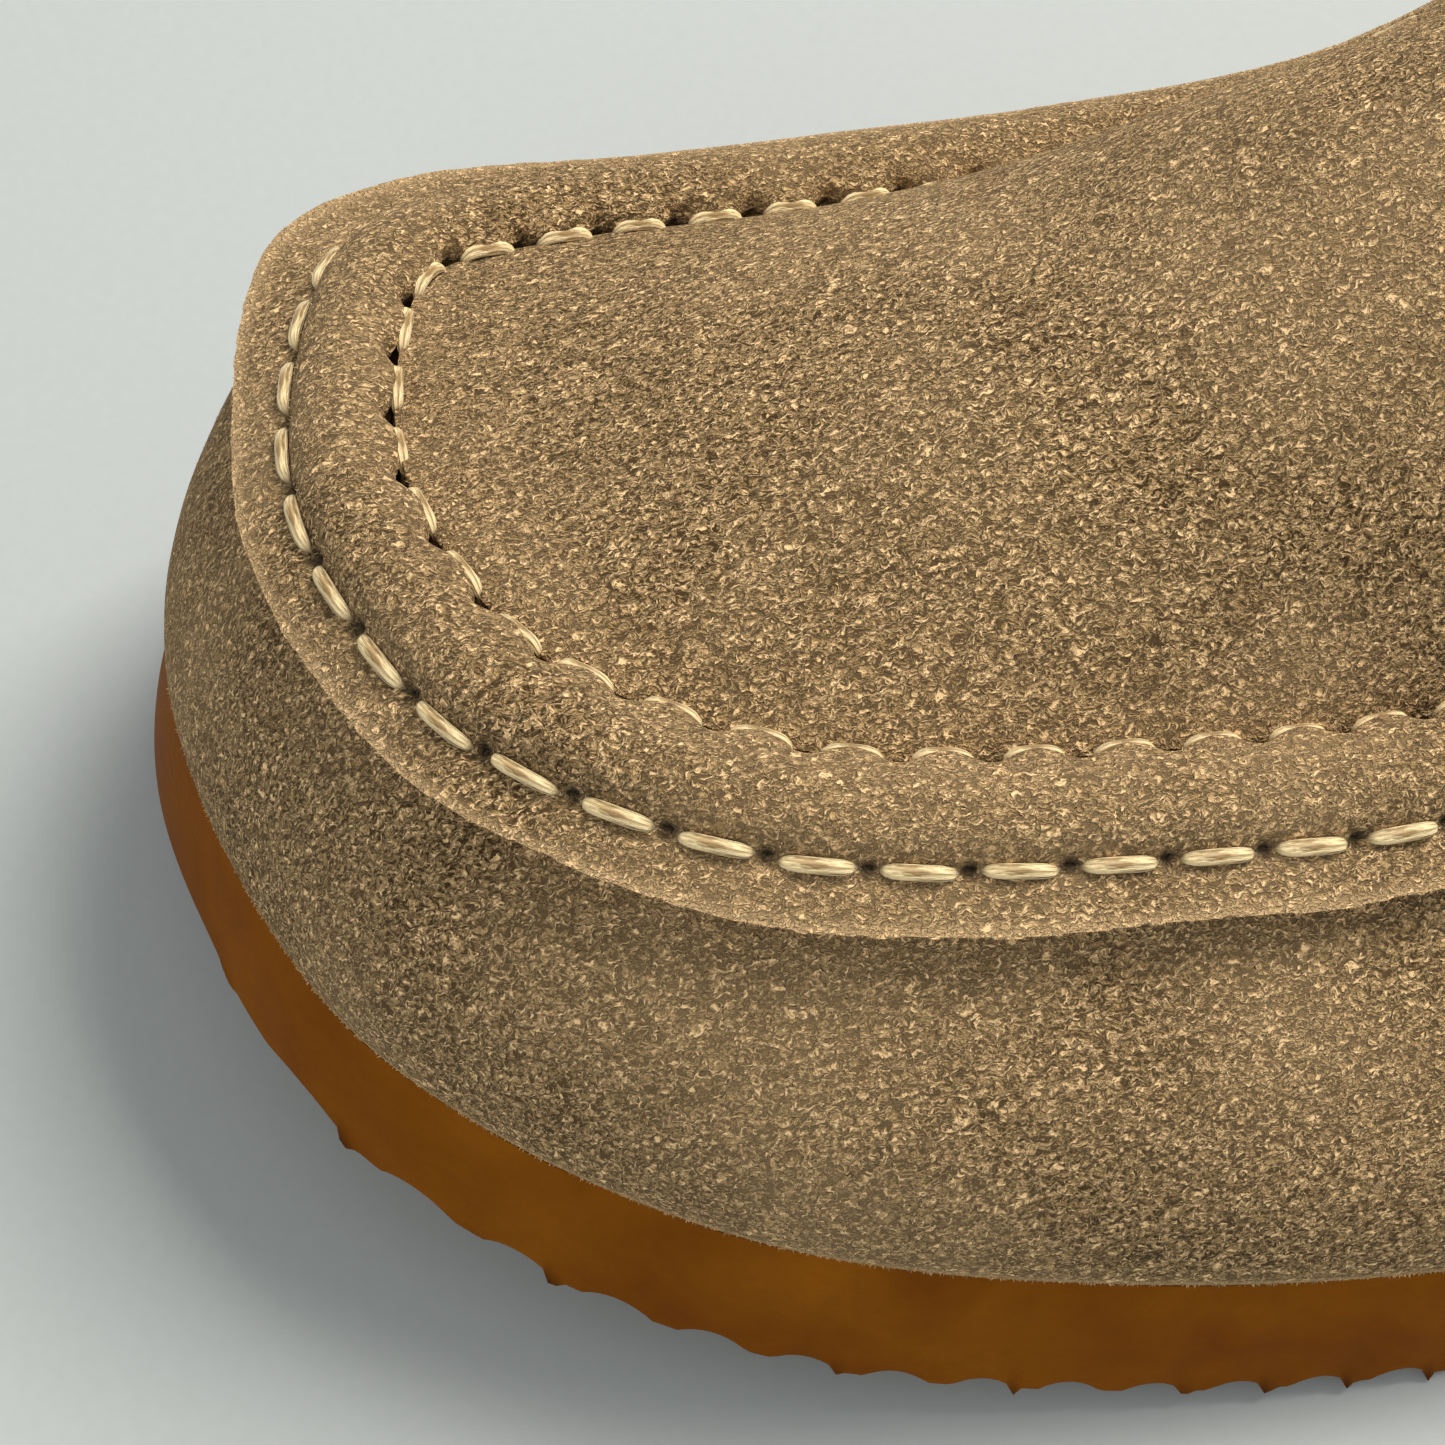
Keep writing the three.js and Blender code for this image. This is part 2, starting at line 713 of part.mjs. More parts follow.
// A point of the tongue's upper face: length from 0 at the hinge to 1, width from -1 to 1.
function tonguePoint(length, width) {
  const corner = clamp((length - tongueRoundStart) / (1 - tongueRoundStart), 0, 1);
  const rounded = 1 - tongueRoundDraw * corner ** 3;
  const half = lerp(tongueBaseWidth, tongueTipWidth, length) / 2 * rounded;
  const x = width * half;
  const flatter = lerp(1, 0.5, length);
  const drop = throatCrown * flatter * Math.abs(x / throatHalfWidth) ** crownPower;
  const rise = tongueRise * (0.85 * length + 0.15 * length * length);
  return tongueHinge.clone().add(new THREE.Vector3(x, length * tongueLength, rise - drop));
}

function tongueLayer(outerDepth, innerDepth, margin) {
  const side = 1 - 2 * margin / tongueBaseWidth;
  const end = 1 - margin / tongueLength;
  const step = 0.01;
  const widths = Array.from({ length: 7 }, (unused, k) => lerp(-side, side, k / 6));
  const at = (length, width, depth) => {
    const back = tonguePoint(length + step, width).sub(tonguePoint(length - step, width));
    const across = tonguePoint(length, width + step).sub(tonguePoint(length, width - step));
    return tonguePoint(length, width).addScaledVector(across.cross(back).normalize(), -depth);
  };
  return loft([0, 0.2, 0.4, 0.6, 0.74, 0.88, 1].map((share) => {
    const length = share * end;
    const outer = widths.map((width) => at(length, width, outerDepth));
    const inner = widths.map((width) => at(length, width, innerDepth));
    return [...outer, ...inner.reverse()];
  }));
}

const tongueFoamDepth = suedeThickness + 2 * fitGap;
const tongueLiningDepth = tongueFoamDepth + tongueFoamThickness + 2 * fitGap;

// ---- Materials ----

const suede = new THREE.MeshStandardMaterial({ color: '#8a7256', roughness: 0.95 });
const leather = new THREE.MeshStandardMaterial({ color: '#b79a76', roughness: 0.7 });
const sole = new THREE.MeshStandardMaterial({ color: '#b8651f', roughness: 0.6 });
const thread = new THREE.MeshStandardMaterial({ color: '#d8c08d', roughness: 0.5 });
const foam = new THREE.MeshStandardMaterial({ color: '#d9d2bd', roughness: 0.9 });
const board = new THREE.MeshStandardMaterial({ color: '#c9b48c', roughness: 0.9 });
const corkMix = new THREE.MeshStandardMaterial({ color: '#a87b4c', roughness: 0.9 });
const steel = new THREE.MeshStandardMaterial({ color: '#9a9da0', roughness: 0.35, metalness: 1 });

// ---- The moccasin ----

const moccasin = new THREE.Group();

function add(name, shape, material) {
  shape.computeVertexNormals();
  const mesh = new THREE.Mesh(shape, material);
  mesh.name = name;
  moccasin.add(mesh);
}

add('outsole', outsole(), sole);
add('bottom_filler', fillerPlate(0, 0, fillerThickness), corkMix);
add('shank', shankPlate(0, 0, shankThickness), steel);
add('insole_board', innerPlate(boardClearance, 1, boardTop, featherHeight), board);
add('footbed', footbed(), foam);
add('heel_pad', heelPadPlug(0, 0), foam);
add('sock_liner', sockLiner(), leather);

const puffDepth = suedeThickness + fitGap;
const puffShares = between(frontShares, toePuffFoot, toePuffTop);
add('vamp_wall', sideLayer(frontStations, frontShares, always(0), always(suedeThickness)), suede);
add('toe_puff', sideLayer(between(frontStations, -puffSpan, puffSpan), puffShares,
  always(puffDepth), always(puffDepth + stiffenerThickness)), board);
add('vamp_lining', sideLayer(frontStations, frontShares,
  always(liningDepth), always(liningDepth + liningThickness)), leather);

add('apron', apronLayer(0, suedeThickness), suede);
add('apron_lining', apronLayer(suedeThickness + fitGap, apronDepth), leather);
add('apron_roll', apronRoll(), suede);
add('roll_cord', bar(frontStations, rollCordCentre, cordDiameter), foam);
add('outer_stitching', bar(frontStations, outerRowCentre, threadDiameter), thread);
add('inner_stitching', bar(frontStations, innerRowCentre, threadDiameter), thread);
add('throat_binding', throatBinding(), suede);

add('quarter_lateral', quarter(throatOuter + stationGap, 1 - stationGap), suede);
add('quarter_medial', quarter(1 + stationGap, throatInner - stationGap), suede);
add('heel_counter', sideLayer(between(rearStations, 1 - counterSpan, 1 + counterSpan),
  between(rearShares, counterFoot, counterTop),
  always(puffDepth), always(puffDepth + stiffenerThickness)), board);
add('collar_padding', sideLayer(rearStations.slice(1, -1), collarShares,
  always(suedeThickness + fitGap), (share) => collarDepth(share) - fitGap), foam);
add('quarter_lining', sideLayer(between(rearStations, throatOuter + stationGap, throatInner - stationGap),
  quarterLiningShares, collarDepth, (share) => collarDepth(share) + liningThickness), leather);
add('collar_binding', collarBinding(), suede);

const backStations = between(rearStations, 1 - backSpan, 1 + backSpan);
add('back_strip', sideLayer(backStations, between(rearShares, counterFoot, backStripTop),
  always(-(fitGap + backStripThickness)), always(-fitGap)), suede);

const seamSpan = seamInset / outerRun;
const seamShares = [0.06, 0.2, 0.34, 0.48, 0.62, 0.76, 0.9];
const backLift = fitGap + backStripThickness;
add('side_stitching_lateral', risingThread(throatOuter + seamSpan, 0, seamShares), thread);
add('side_stitching_medial', risingThread(throatInner - seamSpan, 0, seamShares), thread);
add('back_stitching_lateral', risingThread(1 - backSpan + seamSpan, backLift, seamShares), thread);
add('back_stitching_medial', risingThread(1 + backSpan - seamSpan, backLift, seamShares), thread);
const collarRowShare = 0.93;
const collarLateral = between(rearStations, throatOuter + 2 * seamSpan, 1 - backSpan - seamSpan);
const collarMedial = between(rearStations, 1 + backSpan + seamSpan, throatInner - 2 * seamSpan);
add('collar_stitching_lateral', sideThread(collarLateral, collarRowShare, fitGap), thread);
add('collar_stitching_medial', sideThread(collarMedial, collarRowShare, fitGap), thread);

const tongueFoamBack = tongueFoamDepth + tongueFoamThickness;
const tongueBack = tongueLiningDepth + liningThickness;
add('tongue_face', tongueLayer(0, suedeThickness, 0), suede);
add('tongue_foam', tongueLayer(tongueFoamDepth, tongueFoamBack, tongueFoamMargin), foam);
add('tongue_lining', tongueLayer(tongueLiningDepth, tongueBack, 0), leather);

// Stand the whole shoe centred on the origin.
const box = new THREE.Box3().setFromObject(moccasin);
const centre = box.getCenter(new THREE.Vector3());
moccasin.position.set(-centre.x, -centre.y, -box.min.z);

export default moccasin;
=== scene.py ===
"""Finished surfaces of a suede moccasin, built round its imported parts. Metres, +Z up."""

import bisect
import math
import random

import bmesh
import bpy
from bpy.props import FloatProperty, FloatVectorProperty, IntProperty, PointerProperty
from mathutils import Matrix, Vector, noise


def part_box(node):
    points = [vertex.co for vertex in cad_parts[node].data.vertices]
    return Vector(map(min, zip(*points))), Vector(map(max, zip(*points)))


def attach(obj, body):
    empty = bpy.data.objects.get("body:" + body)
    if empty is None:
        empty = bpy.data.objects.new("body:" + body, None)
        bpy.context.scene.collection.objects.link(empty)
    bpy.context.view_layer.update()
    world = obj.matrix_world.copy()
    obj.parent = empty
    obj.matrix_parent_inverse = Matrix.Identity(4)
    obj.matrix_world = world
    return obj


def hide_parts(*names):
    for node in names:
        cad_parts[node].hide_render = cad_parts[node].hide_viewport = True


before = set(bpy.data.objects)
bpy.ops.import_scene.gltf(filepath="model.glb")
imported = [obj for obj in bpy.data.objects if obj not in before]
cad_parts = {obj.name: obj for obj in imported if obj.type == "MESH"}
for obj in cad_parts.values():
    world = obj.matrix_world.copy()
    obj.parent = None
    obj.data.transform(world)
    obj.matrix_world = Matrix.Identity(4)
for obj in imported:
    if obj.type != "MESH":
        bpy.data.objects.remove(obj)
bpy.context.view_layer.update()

bl_info = {
    "name": "Suede Moccasin",
    "version": (1, 0, 0),
    "blender": (4, 5, 0),
    "location": "View3D > Sidebar > Moccasin",
    "description": "Builds the finished surfaces of a suede moccasin",
    "category": "Add Mesh",
}

MM = 0.001

# ---- Sizes that the pieces share, in millimetres ----

UPPER_LENGTH = 277.0
BALL_WIDTH = 95.0
TOE_SPRING = 11.5
SPRING_LENGTH = 95.0
SPRING_BEND = 2.0               # how late the upper's bottom edge turns up to the toe
UNDERSIDE_BEND = 2.5            # the same, for the sole's underside
FOREFOOT_THICKNESS = 10.2
HEEL_THICKNESS = 22.0
WEDGE_START = 112.0
WEDGE_END = 215.0
SOLE_LEDGE = 2.3
FIT_GAP = 0.3
SUEDE = 1.4
STIFFENER = 0.8
LINING = 0.9
COLLAR_FOAM = 3.0
ROLL_WIDTH = 6.6
ROLL_HEIGHT = 3.0
ROLL_INNER_STEP = 1.1
FLANGE_WIDTH = 3.3
THROAT_LINE = 112.0
BINDING_HEIGHT = 3.2
BINDING_LIP = 0.7
BACK_STRIP_WIDTH = 26.0
BACK_STRIP_THICKNESS = 1.3
LAP_LIFT = SUEDE + FIT_GAP       # of suede that lies on the upper
LINING_DEPTH = SUEDE + FIT_GAP + STIFFENER + FIT_GAP
SHELL_DEPTH = LINING_DEPTH + LINING
APRON_DEPTH = SUEDE + FIT_GAP + LINING
BULGE_SHARE = 0.36
CROWN_POWER = 2.25
TIP_OFFSET = -0.042
FOAM_START_SHARE = 0.74
FOAM_FULL_SHARE = 0.86
BOARD_TOP = 2.0
FOOTBED_CLEARANCE = 3.2
FOOTBED_THICKNESS = 4.5
FOOTBED_HEEL_EXTRA = 2.0
FOOTBED_CUP = 4.0
SOCK_THICKNESS = 1.1
TONGUE_GAP = 1.6
TONGUE_LENGTH = 36.0
TONGUE_BASE_WIDTH = 26.0
TONGUE_TIP_WIDTH = 31.0
TONGUE_RISE = 18.0
TONGUE_FOAM = 2.6
TONGUE_EDGE = 1.4
TONGUE_FOAM_MARGIN = 3.0

# Share of the length, then the outer and inner half widths as shares of the ball's width.
PLAN_ROWS = (
    (0.018, 0.190, 0.242),
    (0.047, 0.303, 0.350),
    (0.101, 0.413, 0.428),
    (0.181, 0.487, 0.463),
    (0.271, 0.527, 0.474),
    (0.361, 0.532, 0.463),
    (0.487, 0.484, 0.400),
    (0.632, 0.411, 0.345),
    (0.776, 0.374, 0.347),
    (0.884, 0.345, 0.332),
    (0.960, 0.235, 0.230),
)

# Share of the length, inset of the top edge outside and inside, rise, slope in degrees,
# reach of that slope, and bulge.
SIDE_ROWS = (
    (0.000, 10.5, 10.5, 17.8, 34, 5, 0.8),
    (0.040, 12.0, 9.8, 19.2, 34, 5.6, 1.0),
    (0.101, 13.3, 13.4, 21.3, 34, 7, 1.3),
    (0.181, 15.7, 15.7, 23.0, 34, 8, 1.5),
    (0.260, 18.3, 16.4, 23.6, 36, 9, 1.6),
    (0.332, 21.4, 18.6, 28.5, 44, 11, 1.8),
    (0.404, 24.5, 20.5, 43.0, 58, 13, 2.0),
    (0.505, 17.5, 11.5, 41.5, 74, 13, 2.2),
    (0.650, 10.5, 6.5, 41.0, 80, 13, 2.4),
    (0.794, 7.5, 6.5, 43.5, 84, 14, 3.0),
    (0.920, 6.0, 6.0, 48.5, 86, 14, 3.4),
    (1.000, 5.2, 5.2, 51.5, 87, 14, 3.6),
)

# Share of the length, and the height of the apron's middle above its seam.
CROWN_ROWS = (
    (0.058, 0.4),
    (0.108, 4.6),
    (0.162, 9.6),
    (0.206, 13.6),
    (0.256, 21.9),
    (0.314, 25.3),
    (0.361, 23.0),
    (0.404, 21.0),
)


# ---- Curves ----

def mix(a, b, share):
    return a + (b - a) * share


def clamp(value, low=0.0, high=1.0):
    return min(max(value, low), high)


def smooth(value, low, high):
    share = clamp((value - low) / (high - low))
    return share * share * (3 - 2 * share)


def smooth_column(rows, column):
    """A smooth function through the first column and one other column of some rows."""
    at = [row[0] for row in rows]
    held = [row[column] for row in rows]
    last = len(rows) - 1
    slope = []
    for i in range(len(rows)):
        before, after = max(i - 1, 0), min(i + 1, last)
        slope.append((held[after] - held[before]) / (at[after] - at[before]))

    def value(x):
        inside = clamp(x, at[0], at[last])
        i = min(max(bisect.bisect_right(at, inside) - 1, 0), last - 1)
        span = at[i + 1] - at[i]
        t = (inside - at[i]) / span
        rest = 1 - t
        level = held[i] * rest * rest * (1 + 2 * t) + held[i + 1] * t * t * (3 - 2 * t)
        return level + span * t * rest * (slope[i] * rest - slope[i + 1] * t)

    return value


inset_outer, inset_inner, top_rise, top_slope, top_reach, side_bulge = (
    smooth_column(SIDE_ROWS, column) for column in range(1, 7)
)
apron_crown = smooth_column(CROWN_ROWS, 1)


def centripetal(p0, p1, p2, p3, t):
    """A point between p1 and p2 of a centripetal Catmull-Rom curve."""
    d = [max((b - a).length ** 0.5, 1e-4) for a, b in ((p0, p1), (p1, p2), (p2, p3))]
    m1 = ((p1 - p0) / d[0] - (p2 - p0) / (d[0] + d[1]) + (p2 - p1) / d[1]) * d[1]
    m2 = ((p2 - p1) / d[1] - (p3 - p1) / (d[1] + d[2]) + (p3 - p2) / d[2]) * d[1]
    third = p1 * -3 + p2 * 3 - m1 * 2 - m2
    fourth = p1 * 2 - p2 * 2 + m1 + m2
    return p1 + m1 * t + third * (t * t) + fourth * (t * t * t)


def plan_samples():
    """The line where the upper meets the sole: toe tip, outer side, heel, inner side."""
    tip = Vector((TIP_OFFSET * BALL_WIDTH, 0.0))
    outer = [Vector((o * BALL_WIDTH, y * UPPER_LENGTH)) for y, o, i in PLAN_ROWS]
    inner = [Vector((-i * BALL_WIDTH, y * UPPER_LENGTH)) for y, o, i in PLAN_ROWS]
    points = [tip, *outer, Vector((0.0, UPPER_LENGTH)), *reversed(inner)]
    steps, count, found = 24, len(points), []
    for k in range(count):
        near = [points[(k + j) % count] for j in (-1, 0, 1, 2)]
        found += [centripetal(*near, j / steps) for j in range(steps)]
    heel = (len(PLAN_ROWS) + 1) * steps
    return [*found, found[0]], heel


PLAN, HEEL_SAMPLE = plan_samples()
RUNS = [0.0]
for here, there in zip(PLAN, PLAN[1:]):
    RUNS.append(RUNS[-1] + (there - here).length)
OUTER_RUN = RUNS[HEEL_SAMPLE]
INNER_RUN = RUNS[-1] - OUTER_RUN


def plan_at(station):
    """Station 0 is the toe tip, 1 the heel by the outer side, 2 the toe by the inner side."""
    wrapped = station % 2
    run = wrapped * OUTER_RUN if wrapped <= 1 else OUTER_RUN + (wrapped - 1) * INNER_RUN
    i = min(max(bisect.bisect_left(RUNS, run) - 1, 0), len(RUNS) - 2)
    return PLAN[i].lerp(PLAN[i + 1], (run - RUNS[i]) / (RUNS[i + 1] - RUNS[i]))


def outward_at(station):
    along = (plan_at(station + 0.006) - plan_at(station - 0.006)).normalized()
    return Vector((along.y, -along.x))


def station_at(y, inner):
    low, high = 0.0, 1.0
    for _ in range(30):
        middle = (low + high) / 2
        if plan_at(-middle if inner else middle).y < y:
            low = middle
        else:
            high = middle
    return 2 - low if inner else low


THROAT_OUTER = station_at(THROAT_LINE, False)
THROAT_INNER = station_at(THROAT_LINE, True)
ROUND_THE_TOE = (THROAT_INNER - 2, THROAT_OUTER)


def sole_shift():
    """From the working frame, whose y starts at the toe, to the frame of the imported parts."""
    low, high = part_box("outsole")
    edge = [plan_at(k / 200) + outward_at(k / 200) * SOLE_LEDGE for k in range(400)]
    middle = (min(p.x for p in edge) + max(p.x for p in edge)) / 2
    return Vector(((low.x + high.x) / 2 - middle * MM, low.y + SOLE_LEDGE * MM, 0.0))


SHIFT = sole_shift()


def to_frame(x, y, z):
    return Vector((x, y, z)) * MM + SHIFT


def back_of(point):
    """Millimetres back from the upper's toe."""
    return (point.y - SHIFT.y) / MM


def spring(y, bend):
    return TOE_SPRING * clamp(1 - y / SPRING_LENGTH, 0, 2) ** bend


def underside(y):
    return spring(y, UNDERSIDE_BEND)


def feather(y):
    """Height of the line where the upper meets the sole."""
    wedge = smooth(y, WEDGE_START, WEDGE_END)
    return spring(y, SPRING_BEND) + mix(FOREFOOT_THICKNESS, HEEL_THICKNESS, wedge)


def place(station, inset, height):
    foot, out = plan_at(station), outward_at(station)
    return to_frame(foot.x - out.x * inset, foot.y - out.y * inset, height)


# ---- The shell of the upper ----

class Side:
    """The side's section at a station: distance in from the plan against height."""

    def __init__(self, station):
        y = plan_at(station).y
        along = y / UPPER_LENGTH
        inset = inset_inner(along) if station % 2 > 1 else inset_outer(along)
        slope = math.radians(top_slope(along))
        rise = top_rise(along)
        base = feather(y)
        top = Vector((inset, base + rise))
        reach = Vector((math.cos(slope), math.sin(slope))) * top_reach(along)
        self.station = station
        self.points = (
            Vector((0, base)),
            Vector((-side_bulge(along), base + BULGE_SHARE * rise)),
            top - reach,
            top,
        )

    def at(self, share):
        a, b, c, d = self.points
        rest = 1 - share
        return (a * rest ** 3 + b * (3 * rest * rest * share)
                + c * (3 * rest * share * share) + d * share ** 3)

    def along(self, share):
        a, b, c, d = self.points
        rest = 1 - share
        slope = (b - a) * (rest * rest) + (c - b) * (2 * rest * share) + (d - c) * (share * share)
        return slope.normalized()

    def section(self, share, depth):
        point, along = self.at(share), self.along(share)
        return Vector((point.x + along.y * depth, point.y - along.x * depth))

    def point(self, share, depth):
        section = self.section(share, depth)
        return place(self.station, section.x, section.y)

    def out(self, share):
        return (self.point(share, -1) - self.point(share, 0)).normalized()

    def row(self):
        """The outer row of stitches, on the strip that lies on the upper."""
        return self.section(1, -LAP_LIFT)

    def share_below_top(self, distance):
        """The share of the curve that lies a distance below its top edge."""
        share, run, step = 1.0, 0.0, 0.004
        while run < distance and share > step:
            run += (self.at(share) - self.at(share - step)).length
            share -= step
        return share


def collar_depth(share):
    padded = smooth(share, FOAM_START_SHARE, FOAM_FULL_SHARE)
    return mix(LINING_DEPTH, SUEDE + COLLAR_FOAM + 2 * FIT_GAP, padded)


def uniform_curve(points, share):
    """A point of a uniform Catmull-Rom curve through a few points."""
    position = clamp(share) * (len(points) - 1)
    i = min(int(position), len(points) - 2)
    t = position - i
    p1, p2 = points[i], points[i + 1]
    p0 = points[i - 1] if i > 0 else p1 * 2 - p2
    p3 = points[i + 2] if i + 2 < len(points) else p2 * 2 - p1
    m1, m2 = (p2 - p0) * 0.5, (p3 - p1) * 0.5
    return (p1 * (2 * t ** 3 - 3 * t * t + 1) + m1 * (t ** 3 - 2 * t * t + t)
            + p2 * (3 * t * t - 2 * t ** 3) + m2 * (t ** 3 - t * t))


def partner(at, held, value):
    """What one list holds where the other, which rises, reaches a value."""
    i = min(max(bisect.bisect_left(at, value) - 1, 0), len(at) - 2)
    share = (value - at[i]) / (at[i + 1] - at[i])
    return mix(held[i], held[i + 1], clamp(share))


class Seam:
    """A row of stitches along the apron: where its holes are, and how near one a station is."""

    STEPS = 900

    def __init__(self, inset, pitch, phase):
        self.stations = evenly(*ROUND_THE_TOE, self.STEPS)
        self.pitch, self.phase = pitch, phase
        points = []
        for station in self.stations:
            row = Side(station).row()
            points.append(place(station, row.x + inset, row.y))
        self.runs = [0.0]
        for here, there in zip(points, points[1:]):
            self.runs.append(self.runs[-1] + (there - here).length / MM)
        count = int((self.runs[-1] - phase) / pitch)
        self.holes = [partner(self.runs, self.stations, phase + k * pitch) for k in range(count + 1)]

    def distance(self, station):
        """Millimetres along the row to the nearest hole."""
        gone = (partner(self.stations, self.runs, station) - self.phase) % self.pitch
        return min(gone, self.pitch - gone)


# ---- The roll along the apron ----

def roll_points(side):
    row = side.row()
    return [
        row,
        row + Vector((ROLL_WIDTH * 0.22, ROLL_HEIGHT * 0.68)),
        row + Vector((ROLL_WIDTH * 0.54, ROLL_HEIGHT)),
        row + Vector((ROLL_WIDTH * 0.84, ROLL_HEIGHT * 0.80)),
        row + Vector((ROLL_WIDTH, ROLL_INNER_STEP)),
    ]


def apron_edge(station):
    row = Side(station).row()
    return place(station, row.x + ROLL_WIDTH + FIT_GAP, row.y + ROLL_INNER_STEP - FIT_GAP)


def apron_point(length, width):
    """The apron's outer face: length from the tip to the throat, width from inner to outer."""
    outer = apron_edge(length * THROAT_OUTER)
    inner = apron_edge(length * (THROAT_INNER - 2))
    middle = ((outer.y + inner.y) / 2 - SHIFT.y) / MM
    point = inner.lerp(outer, width)
    point.z += apron_crown(middle / UPPER_LENGTH) * MM * (1 - abs(2 * width - 1) ** CROWN_POWER)
    return point


def apron_frame(length, width):
    step = 0.01
    base = clamp(length, 0.06, 1 - step)
    at = 0.5 if length == 0 else clamp(width, step, 1 - step)
    back = (apron_point(base + step, at) - apron_point(base - step, at)).normalized()
    across = apron_point(base, at + step) - apron_point(base, at - step)
    return back, across.cross(back).normalized()


# ---- Meshes ----

def loft(rings, closed=False, capped=False, marks=None):
    """A grid whose rows are moved onto rings of points. Marks are values for its vertices."""
    rows, columns = len(rings), len(rings[0])
    mesh = bmesh.new()
    mesh.loops.layers.uv.new("UVMap")
    bmesh.ops.create_grid(mesh, x_segments=columns - 1, y_segments=rows - 1, size=0.5, calc_uvs=True)
    layers = {key: mesh.verts.layers.float.new(key) for key in (marks or {})}
    for vertex in mesh.verts:
        across = round((vertex.co.x + 0.5) * (columns - 1))
        along = round((vertex.co.y + 0.5) * (rows - 1))
        vertex.co = rings[along][across]
        for key, layer in layers.items():
            vertex[layer] = marks[key][along][across]
    if closed:
        bmesh.ops.remove_doubles(mesh, verts=mesh.verts, dist=1e-6)
    if capped:
        bmesh.ops.holes_fill(mesh, edges=mesh.edges, sides=0)
        bmesh.ops.recalc_face_normals(mesh, faces=mesh.faces)
    return mesh


def face_toward(mesh, outward):
    """Turns a sheet so that its faces look the given way, from a function of the point."""
    mesh.normal_update()
    total = sum(face.normal.dot(outward(face.calc_center_median())) for face in mesh.faces)
    if total < 0:
        bmesh.ops.reverse_faces(mesh, faces=mesh.faces)


def sharpen(mesh, angle):
    """Keeps the edges that turn by more than an angle crisp."""
    mesh.normal_update()
    for edge in mesh.edges:
        if len(edge.link_faces) == 2 and edge.calc_face_angle(0) > math.radians(angle):
            edge.smooth = False


def finish_mesh(mesh, name, materials, crease=None):
    mesh.normal_update()
    data = bpy.data.meshes.new(name)
    for face in mesh.faces:
        face.smooth = True
    if crease is not None:
        sharpen(mesh, crease)
    mesh.to_mesh(data)
    mesh.free()
    for material in materials:
        data.materials.append(bpy.data.materials[material])
    piece = bpy.data.objects.new(name, data)
    bpy.context.scene.collection.objects.link(piece)
    return piece


def settle(piece, body, slot, *nodes):
    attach(piece, body)
    if nodes:
        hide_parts(*nodes)
    return piece


def solid(name, rings, material, body, slot, node, crease=None, **marks):
    """A closed piece from rings round its section, with both ends filled."""
    around = [[*ring, ring[0].copy()] for ring in rings]
    marked = {key: [[*row, row[0]] for row in rows] for key, rows in marks.items()}
    mesh = loft(around, closed=True, capped=True, marks=marked)
    return settle(finish_mesh(mesh, name, [material], crease), body, slot, node)


def sheet(name, rings, materials, thickness, toward, slot, *nodes, closed=False, **marks):
    """A sheet whose wall goes in from the face that shows. The last material is its cut edge's."""
    mesh = loft(rings, closed=closed, marks=marks)
    face_toward(mesh, toward)
    piece = finish_mesh(mesh, name, materials)
    wall = piece.modifiers.new("Wall", "SOLIDIFY")
    wall.thickness = thickness * MM
    wall.offset = -1
    wall.material_offset_rim = len(materials) - 1
    settle(piece, "shoe", slot, *nodes)


SUEDE_AND_EDGE = ["brushed_suede", "cut_suede_edge"]


def outward_of_shoe(point):
    """A rough way out of the shell, for turning sheets the right way."""
    return Vector((point.x, (point.y if abs(point.y) > 0.09 else 0), 0.02))


def straight_up(point):
    return Vector((0, 0, 1))


def ripple(point, size, height, seed):
    """Slow unevenness, in millimetres, over features of a size in millimetres."""
    return height * noise.noise(point / (size * MM) + Vector((seed, seed * 1.7, seed * 0.3)))


def evenly(start, end, count):
    """Values from one to another in a number of equal steps, with both ends."""
    return [mix(start, end, k / count) for k in range(count + 1)]


def matched_stations(count):
    """Stations of the outer side, each with the inner station at the same length."""
    pairs = [(0.0, 2.0)]
    for k in range(1, count):
        outer = (1 - math.cos(math.pi * k / count)) / 2 * 0.12 + k / count * 0.88
        pairs.append((outer, station_at(plan_at(outer).y, True)))
    pairs.append((1.0, 1.0))
    return pairs


# ---- Materials ----

